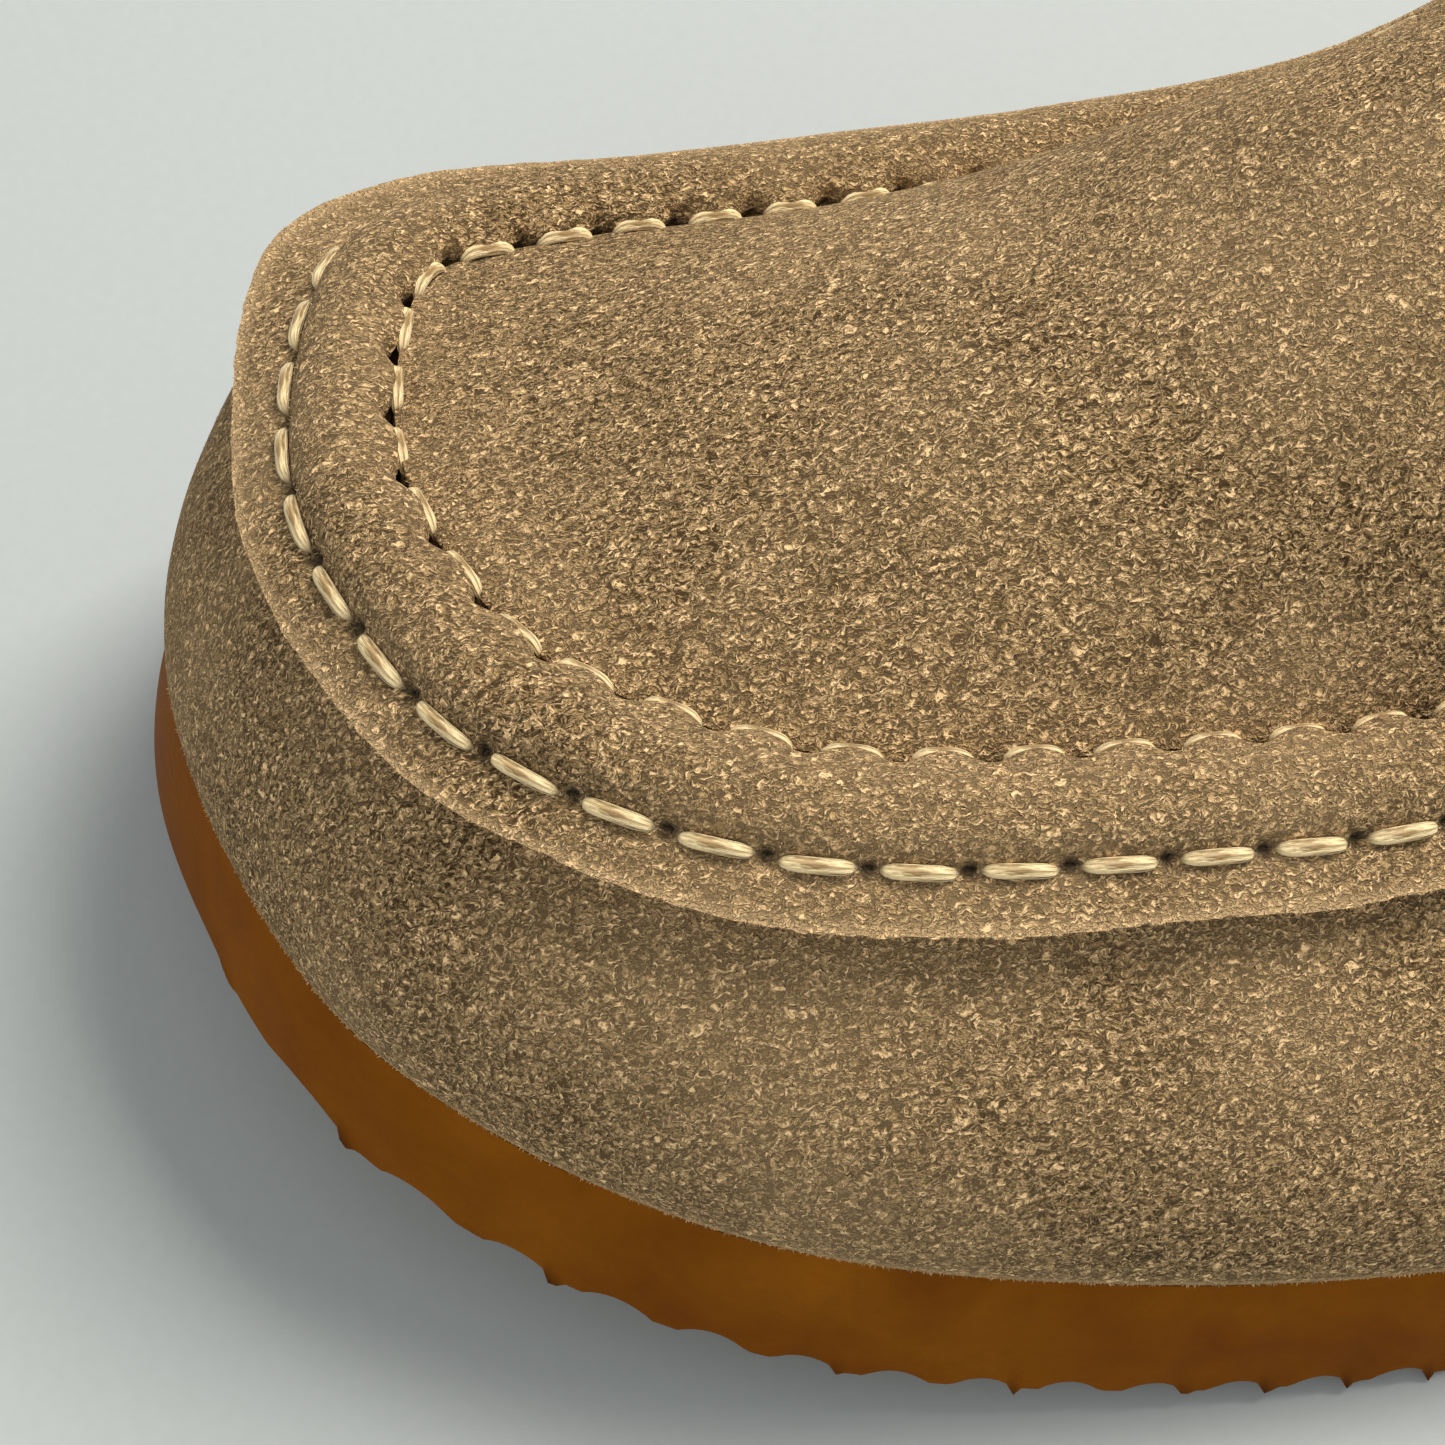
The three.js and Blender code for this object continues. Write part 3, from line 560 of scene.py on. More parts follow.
class Finish:
    """A procedural material, with short calls for the nodes that its pattern needs."""

    def __init__(self, name):
        self.material = bpy.data.materials.new(name)
        self.material.use_nodes = True
        self.tree = self.material.node_tree
        self.shader = self.tree.nodes["Principled BSDF"]
        self.place = self.node("ShaderNodeTexCoord").outputs["Object"]

    def node(self, kind, settings=None, **inputs):
        made = self.tree.nodes.new(kind)
        for key, value in (settings or {}).items():
            setattr(made, key, value)
        for key, value in inputs.items():
            self.put(made.inputs[key.replace("_", " ")], value)
        return made

    def put(self, socket, value):
        if isinstance(value, bpy.types.NodeSocket):
            self.tree.links.new(value, socket)
        else:
            socket.default_value = value

    def set(self, **inputs):
        for key, value in inputs.items():
            self.put(self.shader.inputs[key.replace("_", " ")], value)

    def noise(self, place, scale, detail=3.0, roughness=0.55, distortion=0.0):
        made = self.node("ShaderNodeTexNoise", Vector=place, Scale=scale, Detail=detail,
                         Roughness=roughness, Distortion=distortion)
        return made.outputs["Fac"]

    def math(self, operation, first, second=0.5, third=0.5):
        made = self.tree.nodes.new("ShaderNodeMath")
        made.operation = operation
        self.put(made.inputs[0], first)
        self.put(made.inputs[1], second)
        self.put(made.inputs[2], third)
        return made.outputs[0]

    def remap(self, value, low, high, start=0.0, end=1.0):
        made = self.node("ShaderNodeMapRange", {"clamp": True}, Value=value)
        for key, number in zip(("From Min", "From Max", "To Min", "To Max"), (low, high, start, end)):
            made.inputs[key].default_value = number
        return made.outputs[0]

    def blend(self, share, first, second):
        made = self.node("ShaderNodeMix", {"data_type": "RGBA"})
        self.put(made.inputs["Factor"], share)
        self.put(made.inputs[6], first)
        self.put(made.inputs[7], second)
        return made.outputs[2]

    def stretch(self, place, turn, scale):
        made = self.node("ShaderNodeMapping", Vector=place)
        made.inputs["Rotation"].default_value = turn
        made.inputs["Scale"].default_value = scale
        return made.outputs[0]

    def mark(self, name):
        return self.node("ShaderNodeAttribute", {"attribute_name": name}).outputs["Fac"]

    def bump(self, height, strength, distance, under=None):
        made = self.node("ShaderNodeBump", Height=height, Strength=strength, Distance=distance)
        if under is not None:
            self.put(made.inputs["Normal"], under)
        return made.outputs["Normal"]


def colour(value):
    return (*value, 1.0)


def suede_finish(name, light, base, dark, nap):
    """Short curled fibres that lie three ways. The dark between them is partly the suede's own colour
    and partly painted shade, and the light on their ends is partly painted highlight.
    """
    finish = Finish(name)
    bend = finish.node("ShaderNodeTexNoise", Vector=finish.place, Scale=1250.0, Detail=2.0)
    shifted = finish.node("ShaderNodeVectorMath", {"operation": "MULTIPLY_ADD"})
    finish.put(shifted.inputs[0], bend.outputs["Color"])
    shifted.inputs[1].default_value = (0.0010, 0.0010, 0.0010)
    finish.put(shifted.inputs[2], finish.place)
    swirled = shifted.outputs[0]
    lays = [
        finish.noise(finish.stretch(swirled, turn, (1.0, 0.42, 0.62)), 4000.0, 1.5, 0.6, 1.1)
        for turn in ((0.2, 0.1, 0.5), (0.9, 0.4, 1.7), (0.3, 1.2, 2.6))
    ]
    patch = finish.noise(finish.place, 900.0, 1.0)
    first = finish.remap(patch, 0.40, 0.50)
    second = finish.remap(patch, 0.50, 0.60)
    fibre = finish.blend(second, finish.blend(first, lays[0], lays[1]), lays[2])
    # Masks for painted shade between the fibres and painted highlight on their ends, which are also the
    # fibres' own colour pattern.
    fibre_pits_and_shade = finish.remap(fibre, 0.39, 0.51)
    fibre_tips_and_highlight = finish.remap(fibre, 0.51, 0.64)
    clumps = finish.noise(finish.place, 1500.0, 2.0, 0.6, 0.8)
    brushed = finish.noise(finish.place, 52.0, 2.0, 0.5, 0.7)
    # The dark colour here is partly painted shade between the fibres, and the light colour is partly
    # painted highlight on their ends.
    tint = finish.blend(fibre_pits_and_shade, colour(dark), colour(base))
    tint = finish.blend(fibre_tips_and_highlight, tint, colour(light))
    tint = finish.blend(finish.remap(brushed, 0.35, 0.70, 0.0, 0.20), tint, colour(light))
    tint = finish.blend(finish.math("MULTIPLY", finish.mark("raw"), 0.6), tint, colour(light))
    # Painted shade: near black where the hole marks lie, standing in for the shade inside the stitch
    # holes.
    tint = finish.blend(finish.mark("hole"), tint, (0.010, 0.005, 0.002, 1.0))
    finish.set(Base_Color=tint, Roughness=0.97, Specular_IOR_Level=0.10)
    finish.set(Sheen_Weight=0.14, Sheen_Roughness=0.5, Sheen_Tint=(1.0, 0.80, 0.55, 1.0))
    coarse = finish.bump(clumps, 0.6, 0.0004)
    height = finish.math("ADD", fibre_pits_and_shade, fibre_tips_and_highlight)
    finish.set(Normal=finish.bump(height, nap, 0.00030, coarse))
    return finish.material


def fibre_finish(name, light, base):
    finish = Finish(name)
    vary = finish.noise(finish.place, 1800.0, 2.0)
    finish.set(Base_Color=finish.blend(finish.remap(vary, 0.35, 0.62), colour(base), colour(light)))
    finish.set(Roughness=0.95, Specular_IOR_Level=0.1)
    finish.set(Sheen_Weight=0.2, Sheen_Roughness=0.5, Sheen_Tint=(1.0, 0.85, 0.65, 1.0))
    return finish.material


def foam_sole_finish(name, light, deep):
    finish = Finish(name)
    cloud = finish.noise(finish.place, 90.0, 4.0, 0.55, 0.4)
    grain = finish.noise(finish.place, 1500.0, 3.0, 0.6)
    tint = finish.blend(finish.remap(cloud, 0.3, 0.7), colour(deep), colour(light))
    tint = finish.blend(finish.remap(grain, 0.45, 0.8, 0.0, 0.25), tint, colour(deep))
    tint = finish.blend(finish.mark("nick"), tint, (0.05, 0.012, 0.002, 1.0))
    finish.set(Base_Color=tint, Roughness=finish.remap(cloud, 0.3, 0.7, 0.50, 0.64))
    finish.set(Specular_IOR_Level=0.03)
    flattened = finish.stretch(finish.place, (0.0, 0.0, 0.0), (1.0, 1.0, 2.6))
    creases = finish.noise(flattened, 1300.0, 3.0, 0.6)
    pores = finish.noise(finish.place, 4200.0, 2.0, 0.6)
    finish.set(Normal=finish.bump(pores, 0.25, 0.0001, finish.bump(creases, 0.5, 0.00025)))
    return finish.material


def thread_finish(name, light, deep):
    finish = Finish(name)
    uv = finish.node("ShaderNodeTexCoord").outputs["UV"]
    turned = finish.stretch(uv, (0.0, 0.0, 0.14), (15.0, 2.0, 1.0))
    plies = finish.node("ShaderNodeTexWave", {"bands_direction": "X"},
                        Vector=finish.stretch(uv, (0.0, 0.0, 0.2), (1.0, 1.0, 1.0)), Scale=1.6,
                        Distortion=2.5, Detail=2.0, Detail_Scale=1.6).outputs["Fac"]
    fine = finish.remap(finish.noise(turned, 1.0, 2.0, 0.6, 0.6), 0.36, 0.62)
    strands = finish.math("MULTIPLY_ADD", plies, 0.30, finish.math("MULTIPLY", fine, 0.70))
    fuzz = finish.noise(finish.place, 5200.0, 3.0, 0.7)
    tint = finish.blend(finish.remap(strands, 0.15, 0.75), colour(deep), colour(light))
    tint = finish.blend(finish.remap(fuzz, 0.5, 0.8, 0.0, 0.35), tint, colour(deep))
    finish.set(Base_Color=tint, Roughness=0.5, Specular_IOR_Level=0.5)
    finish.set(Sheen_Weight=0.25, Sheen_Roughness=0.3, Sheen_Tint=(1.0, 0.95, 0.85, 1.0))
    finish.set(Normal=finish.bump(strands, 0.8, 0.00018, finish.bump(fuzz, 0.3, 0.00006)))
    return finish.material


def leather_finish(name, light, deep, grain_size):
    finish = Finish(name)
    cells = finish.node("ShaderNodeTexVoronoi", {"feature": "DISTANCE_TO_EDGE"},
                        Vector=finish.place, Scale=grain_size)
    pores = finish.remap(cells.outputs["Distance"], 0.0, 0.14)
    cloud = finish.noise(finish.place, 45.0, 4.0, 0.6, 0.5)
    tint = finish.blend(finish.remap(cloud, 0.32, 0.7), colour(deep), colour(light))
    tint = finish.blend(finish.remap(pores, 0.0, 1.0, 0.28, 0.0), tint, colour(deep))
    finish.set(Base_Color=tint, Roughness=finish.remap(cloud, 0.3, 0.7, 0.52, 0.70))
    finish.set(Specular_IOR_Level=0.4)
    finish.set(Normal=finish.bump(pores, 0.35, 0.00012))
    return finish.material


def grain_finish(name, light, deep, scale, roughness, metal=0.0):
    """Boards, foams and steel that stay inside the shoe."""
    finish = Finish(name)
    grain = finish.noise(finish.place, scale, 4.0, 0.65, 0.3)
    tint = finish.blend(finish.remap(grain, 0.3, 0.7), colour(deep), colour(light))
    rough = finish.remap(grain, 0.3, 0.7, roughness - 0.08, roughness + 0.08)
    finish.set(Base_Color=tint, Roughness=rough, Metallic=metal)
    finish.set(Normal=finish.bump(grain, 0.35, 0.0002))
    return finish.material


def floor_finish(name, tone):
    finish = Finish(name)
    speck = finish.noise(finish.place, 900.0, 2.0)
    deep = tuple(channel * 0.97 for channel in tone)
    tint = finish.blend(finish.remap(speck, 0.3, 0.7), colour(deep), colour(tone))
    finish.set(Base_Color=tint, Roughness=0.75, Specular_IOR_Level=0.25)
    return finish.material


# ---- Stitches ----

SIDE_THREAD_WIDTH = 0.62
SIDE_THREAD_HEIGHT = 0.42
SIDE_THREAD_LIFT = 0.16
SIDE_THREAD_DIVE = 0.45


def add_stitch(mesh, path, width, height, around, steps):
    """One flat thread along a path that gives a point, a side and an up for each share."""
    made = bmesh.ops.create_uvsphere(mesh, u_segments=around, v_segments=steps, radius=1.0,
                                     calc_uvs=True)
    for vertex in made["verts"]:
        turn = math.atan2(vertex.co.y, vertex.co.x)
        share = 1 - math.acos(clamp(vertex.co.z, -1, 1)) / math.pi
        full = max(0.0, 1 - abs(2 * share - 1) ** 4) ** 0.55
        point, side, up = path(share)
        vertex.co = (point + side * (math.cos(turn) * full * width * MM / 2)
                     + up * (math.sin(turn) * full * height * MM / 2))


def thread_row(name, node, stitches, around=8, steps=9):
    """One piece from the path, the width and the height of each stitch."""
    mesh = bmesh.new()
    mesh.loops.layers.uv.new("UVMap")
    for path, width, height in stitches:
        add_stitch(mesh, path, width, height, around, steps)
    settle(finish_mesh(mesh, name, ["waxed_thread"]), "shoe", "thread", node)


def side_stitches(count, inset, spot, dice):
    """Stitches on the side. The spot gives a station, a share and a depth along the row."""
    for k in range(count):
        ends = []
        for along in (inset, 1 - inset):
            station, share, depth = spot((k + along) / count)
            ends.append(Side(station).point(share, depth))
        station, share, depth = spot((k + 0.5) / count)
        up = Side(station).out(share)
        across = (ends[1] - ends[0]).cross(up).normalized()
        yield arched(*ends, up, across), SIDE_THREAD_WIDTH * dice.uniform(0.93, 1.08), SIDE_THREAD_HEIGHT


def arched(start, end, up, side):
    """The path of a stitch that leaves one hole, lies on the face and goes down the next."""
    def path(share):
        arch = 1 - abs(2 * share - 1) ** 4
        rise = mix(-SIDE_THREAD_DIVE, SIDE_THREAD_LIFT, arch)
        return start.lerp(end, share) + up * (rise * MM), side, up
    return path


# ---- Nap that stands up ----

def fibre_mesh(roots):
    """Closed spindles in one mesh, each from a root, a direction, an end shift and a width."""
    mesh = bmesh.new()
    rows = 3 * len(roots) - 1
    bmesh.ops.create_grid(mesh, x_segments=3, y_segments=rows, size=0.5)
    between = [face for face in mesh.faces
               if int((face.calc_center_median().y + 0.5) * rows) % 3 == 2]
    bmesh.ops.delete(mesh, geom=between, context="FACES_ONLY")
    for vertex in mesh.verts:
        column = round((vertex.co.x + 0.5) * 3) % 3
        row = round((vertex.co.y + 0.5) * rows)
        root, rise, droop, width = roots[row // 3]
        stage = row % 3
        if stage == 1:
            turn = 2 * math.pi * column / 3
            side = rise.orthogonal().normalized()
            across = rise.normalized().cross(side)
            ring = (side * math.cos(turn) + across * math.sin(turn)) * (width / 2)
            vertex.co = root + rise * 0.5 + droop * 0.2 + ring
        else:
            vertex.co = root + (rise + droop) * (stage / 2)
    loose = [edge for edge in mesh.edges if not edge.link_faces]
    bmesh.ops.delete(mesh, geom=loose, context="EDGES")
    bmesh.ops.remove_doubles(mesh, verts=mesh.verts, dist=1e-8)
    bmesh.ops.recalc_face_normals(mesh, faces=mesh.faces)
    return mesh


# ---- What a user would change ----

class MoccasinSizes(bpy.types.PropertyGroup):
    outer_pitch: FloatProperty(
        name="Outer pitch", description="Between the holes of the outer row", default=0.0057,
        unit="LENGTH")
    inner_pitch: FloatProperty(
        name="Inner pitch", description="Between the holes of the inner row", default=0.0053,
        unit="LENGTH")
    side_pitch: FloatProperty(
        name="Side pitch", description="Between the holes of the other rows", default=0.0034,
        unit="LENGTH")
    thread_width: FloatProperty(
        name="Thread width", description="Across a stitch of the apron", default=0.00096,
        unit="LENGTH")
    thread_gap: FloatProperty(
        name="Thread gap", description="Of bare suede between two stitches", default=0.0010,
        unit="LENGTH")
    tread_pitch: FloatProperty(
        name="Tread pitch", description="Between two ribs of the tread", default=0.0053,
        unit="LENGTH")
    tread_depth: FloatProperty(
        name="Tread depth", description="Of the hollows between the ribs", default=0.0014,
        unit="LENGTH")
    nap: FloatProperty(
        name="Nap", description="Height of the suede's nap", default=0.85, min=0.0, max=1.0,
        subtype="FACTOR")
    seed: IntProperty(name="Seed", description="Of the uneven stitches", default=7)


TONE = {"subtype": "COLOR", "size": 3, "min": 0.0, "max": 1.0}


class MoccasinColours(bpy.types.PropertyGroup):
    # On the nap's ends this colour is partly painted highlight.
    suede_light: FloatVectorProperty(
        name="Suede light", description="Tips of the nap", default=(0.84, 0.555, 0.275), **TONE)
    suede_base: FloatVectorProperty(
        name="Suede base", description="Body of the nap", default=(0.370, 0.225, 0.088), **TONE)
    # Partly the suede's own colour between the fibres and partly painted shade there.
    suede_dark_and_shade: FloatVectorProperty(
        name="Suede dark", description="Between the fibres", default=(0.048, 0.025, 0.007), **TONE)
    sole_light: FloatVectorProperty(
        name="Sole light", description="Foamed sole", default=(0.250, 0.080, 0.0030), **TONE)
    sole_deep: FloatVectorProperty(
        name="Sole deep", description="Clouds in the foamed sole", default=(0.155, 0.043, 0.0012),
        **TONE)
    thread_light: FloatVectorProperty(
        name="Thread light", description="Strands", default=(0.96, 0.740, 0.390), **TONE)
    thread_deep: FloatVectorProperty(
        name="Thread deep", description="Between the strands", default=(0.30, 0.175, 0.052), **TONE)
    lining_light: FloatVectorProperty(
        name="Lining light", description="Lining leather", default=(0.50, 0.34, 0.19), **TONE)
    lining_deep: FloatVectorProperty(
        name="Lining deep", description="Clouds in the lining", default=(0.37, 0.24, 0.12), **TONE)
    floor: FloatVectorProperty(
        name="Floor", description="Plain pale floor", default=(0.42, 0.435, 0.415), **TONE)


# ---- Stage ----

CAMERA_AZIMUTH = math.radians(74.109)
CAMERA_ELEVATION = math.radians(53.474)
CAMERA_ROLL = math.radians(1.148)
CAMERA_DISTANCE = 0.1555
CAMERA_LENS = 62.52
CAMERA_SHIFT = (0.0388, -0.0284)
CAMERA_NEAR = 0.005
TARGET_FROM_TOE = Vector((0.00476, 0.03236, 0.030))
FLOOR_HALF = 3.0
LIGHT_AIM = Vector((0.0, -0.08, 0.02))
ROOM_TONE = (0.93, 0.97, 1.0)
ROOM_STRENGTH = 0.52

# Name, place, size, power and tone.
LIGHTS = (
    ("window", (-0.20, 0.40, 0.88), 0.42, 12.5, (1.0, 0.985, 0.955)),
    ("fill", (0.60, -0.70, 0.65), 0.90, 3.0, ROOM_TONE),
)


def stage_camera():
    low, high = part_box("outsole")
    target = Vector(((low.x + high.x) / 2, low.y, 0)) + TARGET_FROM_TOE
    flat = math.cos(CAMERA_ELEVATION)
    look = Vector((-math.sin(CAMERA_AZIMUTH) * flat, math.cos(CAMERA_AZIMUTH) * flat,
                   -math.sin(CAMERA_ELEVATION)))
    right = look.cross(Vector((0, 0, 1))).normalized()
    up = right.cross(look)
    turn = Matrix.Rotation(-CAMERA_ROLL, 3, look)
    right, up = turn @ right, turn @ up
    data = bpy.data.cameras.new("camera")
    data.lens = CAMERA_LENS
    data.shift_x, data.shift_y = CAMERA_SHIFT
    data.clip_start = CAMERA_NEAR
    camera = bpy.data.objects.new("camera", data)
    camera.matrix_world = Matrix((right, up, -look)).transposed().to_4x4()
    camera.location = target - look * CAMERA_DISTANCE
    bpy.context.scene.collection.objects.link(camera)
    bpy.context.scene.camera = camera


def stage_light(name, location, size, power, tone):
    data = bpy.data.lights.new(name, "AREA")
    data.size = size
    data.energy = power
    data.color = tone
    light = bpy.data.objects.new(name, data)
    light.location = location
    light.rotation_mode = "QUATERNION"
    light.rotation_quaternion = (LIGHT_AIM - Vector(location)).to_track_quat("-Z", "Y")
    bpy.context.scene.collection.objects.link(light)


class MOCCASIN_OT_stage(bpy.types.Operator):
    """Camera, soft light and a plain pale floor"""
    bl_idname = "moccasin.stage"
    bl_label = "Stage"

    def execute(self, context):
        scene = context.scene
        stage_camera()
        scene.view_settings.view_transform = "Standard"
        mesh = bmesh.new()
        bmesh.ops.create_grid(mesh, x_segments=8, y_segments=8, size=FLOOR_HALF)
        floor_finish("pale_floor", scene.moccasin_colours.floor)
        finish_mesh(mesh, "floor", ["pale_floor"])
        for light in LIGHTS:
            stage_light(*light)
        world = bpy.data.worlds.new("soft_room")
        world.use_nodes = True
        room = world.node_tree.nodes["Background"]
        room.inputs["Color"].default_value = colour(ROOM_TONE)
        room.inputs["Strength"].default_value = ROOM_STRENGTH
        scene.world = world
        return {"FINISHED"}


class MOCCASIN_OT_materials(bpy.types.Operator):
    """Procedural finishes of all the pieces"""
    bl_idname = "moccasin.materials"
    bl_label = "Materials"

    def execute(self, context):
        tones = context.scene.moccasin_colours
        nap = context.scene.moccasin_sizes.nap
        # The suede's dark colour is partly painted shade and its light colour partly painted highlight.
        light, base, dark = tones.suede_light, tones.suede_base, tones.suede_dark_and_shade
        suede_finish("brushed_suede", light, base, dark, nap)
        pale = tuple(min(1.0, channel * 1.12) for channel in light)
        suede_finish("cut_suede_edge", pale, light, base, nap)
        fibre_finish("nap_fibre", light, base)
        foam_sole_finish("foamed_sole", tones.sole_light, tones.sole_deep)
        thread_finish("waxed_thread", tones.thread_light, tones.thread_deep)
        leather_finish("lining_leather", tones.lining_light, tones.lining_deep, 900.0)
        leather_finish("sock_leather", (0.44, 0.27, 0.13), (0.33, 0.19, 0.085), 700.0)
        grain_finish("soft_foam", (0.78, 0.73, 0.60), (0.64, 0.58, 0.45), 1400.0, 0.9)
        grain_finish("fibreboard", (0.52, 0.40, 0.24), (0.36, 0.26, 0.14), 600.0, 0.85)
        grain_finish("cork_mix", (0.42, 0.25, 0.11), (0.20, 0.10, 0.04), 420.0, 0.85)
        grain_finish("spring_steel", (0.46, 0.46, 0.47), (0.34, 0.34, 0.35), 260.0, 0.34, 1.0)
        return {"FINISHED"}


# ---- Pieces ----

class MOCCASIN_OT_sole(bpy.types.Operator):
    """Foamed sole with hollows across its tread"""
    bl_idname = "moccasin.sole"
    bl_label = "Sole"

    ROWS = 620
    WALL_STEPS = 9
    TREAD_STEPS = 10
    LAND_SHARE = 0.30
    TOP_LEDGE = -0.15               # the finished edge is rounded in under the upper
    TOP_GAP = 0.2                   # below the upper's bottom edge
    WALL_SWELL = 0.2
    BURR = 0.45                     # of a torn tip

    def groove(self, y, sizes):
        phase = y / (sizes.tread_pitch / MM) % 1
        if phase < self.LAND_SHARE:
            return 0.0
        share = (phase - self.LAND_SHARE) / (1 - self.LAND_SHARE)
        return sizes.tread_depth / MM * math.sin(math.pi * share) ** 0.75

    def wall(self, station, sizes):
        """Points down the wall at a station, with how much each is nicked."""
        y = plan_at(station).y
        points, nicks = [], []
        for k in range(self.WALL_STEPS + 1):
            share = k / self.WALL_STEPS
            ledge = mix(self.TOP_LEDGE, SOLE_LEDGE, share ** 0.8)
            ledge += self.WALL_SWELL * math.sin(math.pi * share)
            edge = place(station, -ledge, 0)
            back = back_of(edge)
            low = underside(back) + self.groove(back, sizes)
            high = feather(y) - self.TOP_GAP
            edge.z = mix(high, low, share) * MM
            out = outward_at(station)
            phase = back / (sizes.tread_pitch / MM) % 1
            at_tip = 1 - smooth(min(phase, 1 - phase), 0.02, 0.10)
            torn = clamp(0.5 + 2.5 * noise.noise(Vector((station * 90, 3.1, 7.7))))
            tear = at_tip * torn * smooth(share, 0.84, 1.0)
            push = ripple(edge, 9, 0.10, 3) + self.BURR * tear
            edge += Vector((out.x, out.y, 0)) * (push * MM)
            edge.z = max(0.0, edge.z - 0.6 * self.BURR * tear * MM) if low > 0.3 else edge.z
            points.append(edge)
            nicks.append(tear)
        return points, nicks

    def execute(self, context):
        sizes = context.scene.moccasin_sizes
        rings, nicks = [], []
        for outer, inner in matched_stations(self.ROWS):
            right, right_nicks = self.wall(outer, sizes)
            left, left_nicks = self.wall(inner, sizes)
            tread = []
            for k in range(1, self.TREAD_STEPS):
                point = right[-1].lerp(left[-1], k / self.TREAD_STEPS)
                back = back_of(point)
                point.z = (underside(back) + self.groove(back, sizes)) * MM
                tread.append(point)
            ring = [*right, *tread, *reversed(left)]
            top = [left[0].lerp(right[0], k / 4) for k in range(1, 4)]
            for point in top:
                point.z = (feather(back_of(point)) - FIT_GAP) * MM
            rings.append([*ring, *top, right[0].copy()])
            zeros = [0.0] * len(tread)
            nicks.append([*right_nicks, *zeros, *reversed(left_nicks), 0.0, 0.0, 0.0, right_nicks[0]])
        mesh = loft(rings, closed=True, marks={"nick": nicks})
        bmesh.ops.recalc_face_normals(mesh, faces=mesh.faces)
        piece = finish_mesh(mesh, "foamed_sole", ["foamed_sole"], crease=40)
        settle(piece, "shoe", "sole_foam", "outsole")
        return {"FINISHED"}


class MOCCASIN_OT_vamp(bpy.types.Operator):
    """Suede wall round the toe"""
    bl_idname = "moccasin.vamp"
    bl_label = "Vamp wall"

    COLUMNS = 420
    ROWS = 30
    FOOT_SHARE = -0.007             # the raw edge reaches just below the sole's top
    FOOT_TUCK = 0.12

    def execute(self, context):
        rings, raws = [], []
        for station in evenly(*ROUND_THE_TOE, self.COLUMNS):
            side = Side(station)
            ring, raw = [], []
            for k in range(self.ROWS + 1):
                share = mix(self.FOOT_SHARE, 1.0, (k / self.ROWS) ** 1.15)
                point = side.point(share, 0)
                held = smooth(share, 0.0, 0.2) * (1 - smooth(share, 0.8, 1.0))
                swell = ripple(point, 17, 0.35, 1) + ripple(point, 6, 0.12, 2)
                foot = 1 - smooth(share, 0.0, 0.05)
                ring.append(side.point(share, self.FOOT_TUCK * foot - swell * held))
                raw.append(foot)
            rings.append(ring)
            raws.append(raw)
        sheet("suede_vamp_wall", rings, SUEDE_AND_EDGE, SUEDE, outward_of_shoe, "suede", "vamp_wall",
              raw=raws)
        return {"FINISHED"}


def apron_seams(sizes):
    outer = Seam(0.0, sizes.outer_pitch / MM, 1.6)
    inner = Seam(ROLL_WIDTH * 0.97, sizes.inner_pitch / MM, 1.2)
    return outer, inner


def pinch(distance, reach):
    return math.exp(-(distance / reach) ** 2)


FLARE_STATION = -0.105          # the inner corner of the toe, where the margin stands out most
FLARE_REACH = 0.060
FLARE_WIDTH = 1.1
FLARE_LIFT = Vector((-0.75, 0.85))
EDGE_STAND_OFF = 0.42


def flange_width(station):
    """Width of the raw margin outside the outer row, with its uneven cut."""
    foot = place(station, 0, 0)
    cut = ripple(foot, 7, 0.22, 5) + ripple(foot, 1.6, 0.10, 6)
    return FLANGE_WIDTH + cut + FLARE_WIDTH * pinch(station - FLARE_STATION, FLARE_REACH)


def flange_point(side, from_row, depth):
    """A point of the margin's section, which stands off the wall towards its raw edge."""
    out = (from_row / FLANGE_WIDTH) ** 2
    corner = pinch(side.station - FLARE_STATION, FLARE_REACH)
    section = side.section(side.share_below_top(from_row), depth - EDGE_STAND_OFF * out)
    return section + FLARE_LIFT * (corner * out)


def roll_section(side, outer_seam, inner_seam):
    """Outer face of the strip from its raw edge inwards: its points, and how much painted shade of the
    stitch holes each gets.
    """
    station = side.station
    to_outer, to_inner = outer_seam.distance(station), inner_seam.distance(station)
    points, holes = [], []
    width = flange_width(station)
    for k in range(9):
        from_row = width * (1 - k / 9)
        near = pinch(math.hypot(from_row, to_outer), 0.50)
        valley = 0.30 * pinch(from_row, 0.8) + 0.55 * near
        points.append(flange_point(side, from_row, valley - LAP_LIFT))
        # Painted shade of the outer row's holes on the margin.
        holes.append(clamp(1.5 * pinch(math.hypot(from_row * 1.4, to_outer * 0.9), 0.42)))
    spline = roll_points(side)
    steps = 30
    for k in range(steps + 1):
        share = k / steps
        point = uniform_curve(spline, share)
        step = 0.01
        along = (uniform_curve(spline, share + step) - uniform_curve(spline, share - step)).normalized()
        outward = Vector((-along.y, along.x))
        from_outer = share * (ROLL_WIDTH + 3.0)
        from_inner = (1 - share) * (ROLL_WIDTH + 3.0)
        near_outer = pinch(math.hypot(from_outer, to_outer), 0.55)
        near_inner = pinch(math.hypot(from_inner * 0.7, to_inner), 0.62)
        valley = 0.30 * pinch(from_outer, 0.8) + 0.55 * near_outer
        swelled = pinch(from_inner - 0.5, 1.5) * (1 - pinch(to_inner, 1.5))
        body = ripple(place(station, point.x, point.y), 14, 0.22, 8) * math.sin(math.pi * share)
        points.append(point + outward * (body - valley - 0.45 * near_inner + 0.30 * swelled)
                      + Vector((0.42, 0.18)) * swelled)
        # Painted shade of the holes of both rows.
        hole = max(pinch(math.hypot(from_outer * 1.4, to_outer * 0.9), 0.42),
                   pinch(math.hypot(from_inner * 1.4, to_inner), 0.26))
        holes.append(clamp(1.5 * hole))
    return points, holes


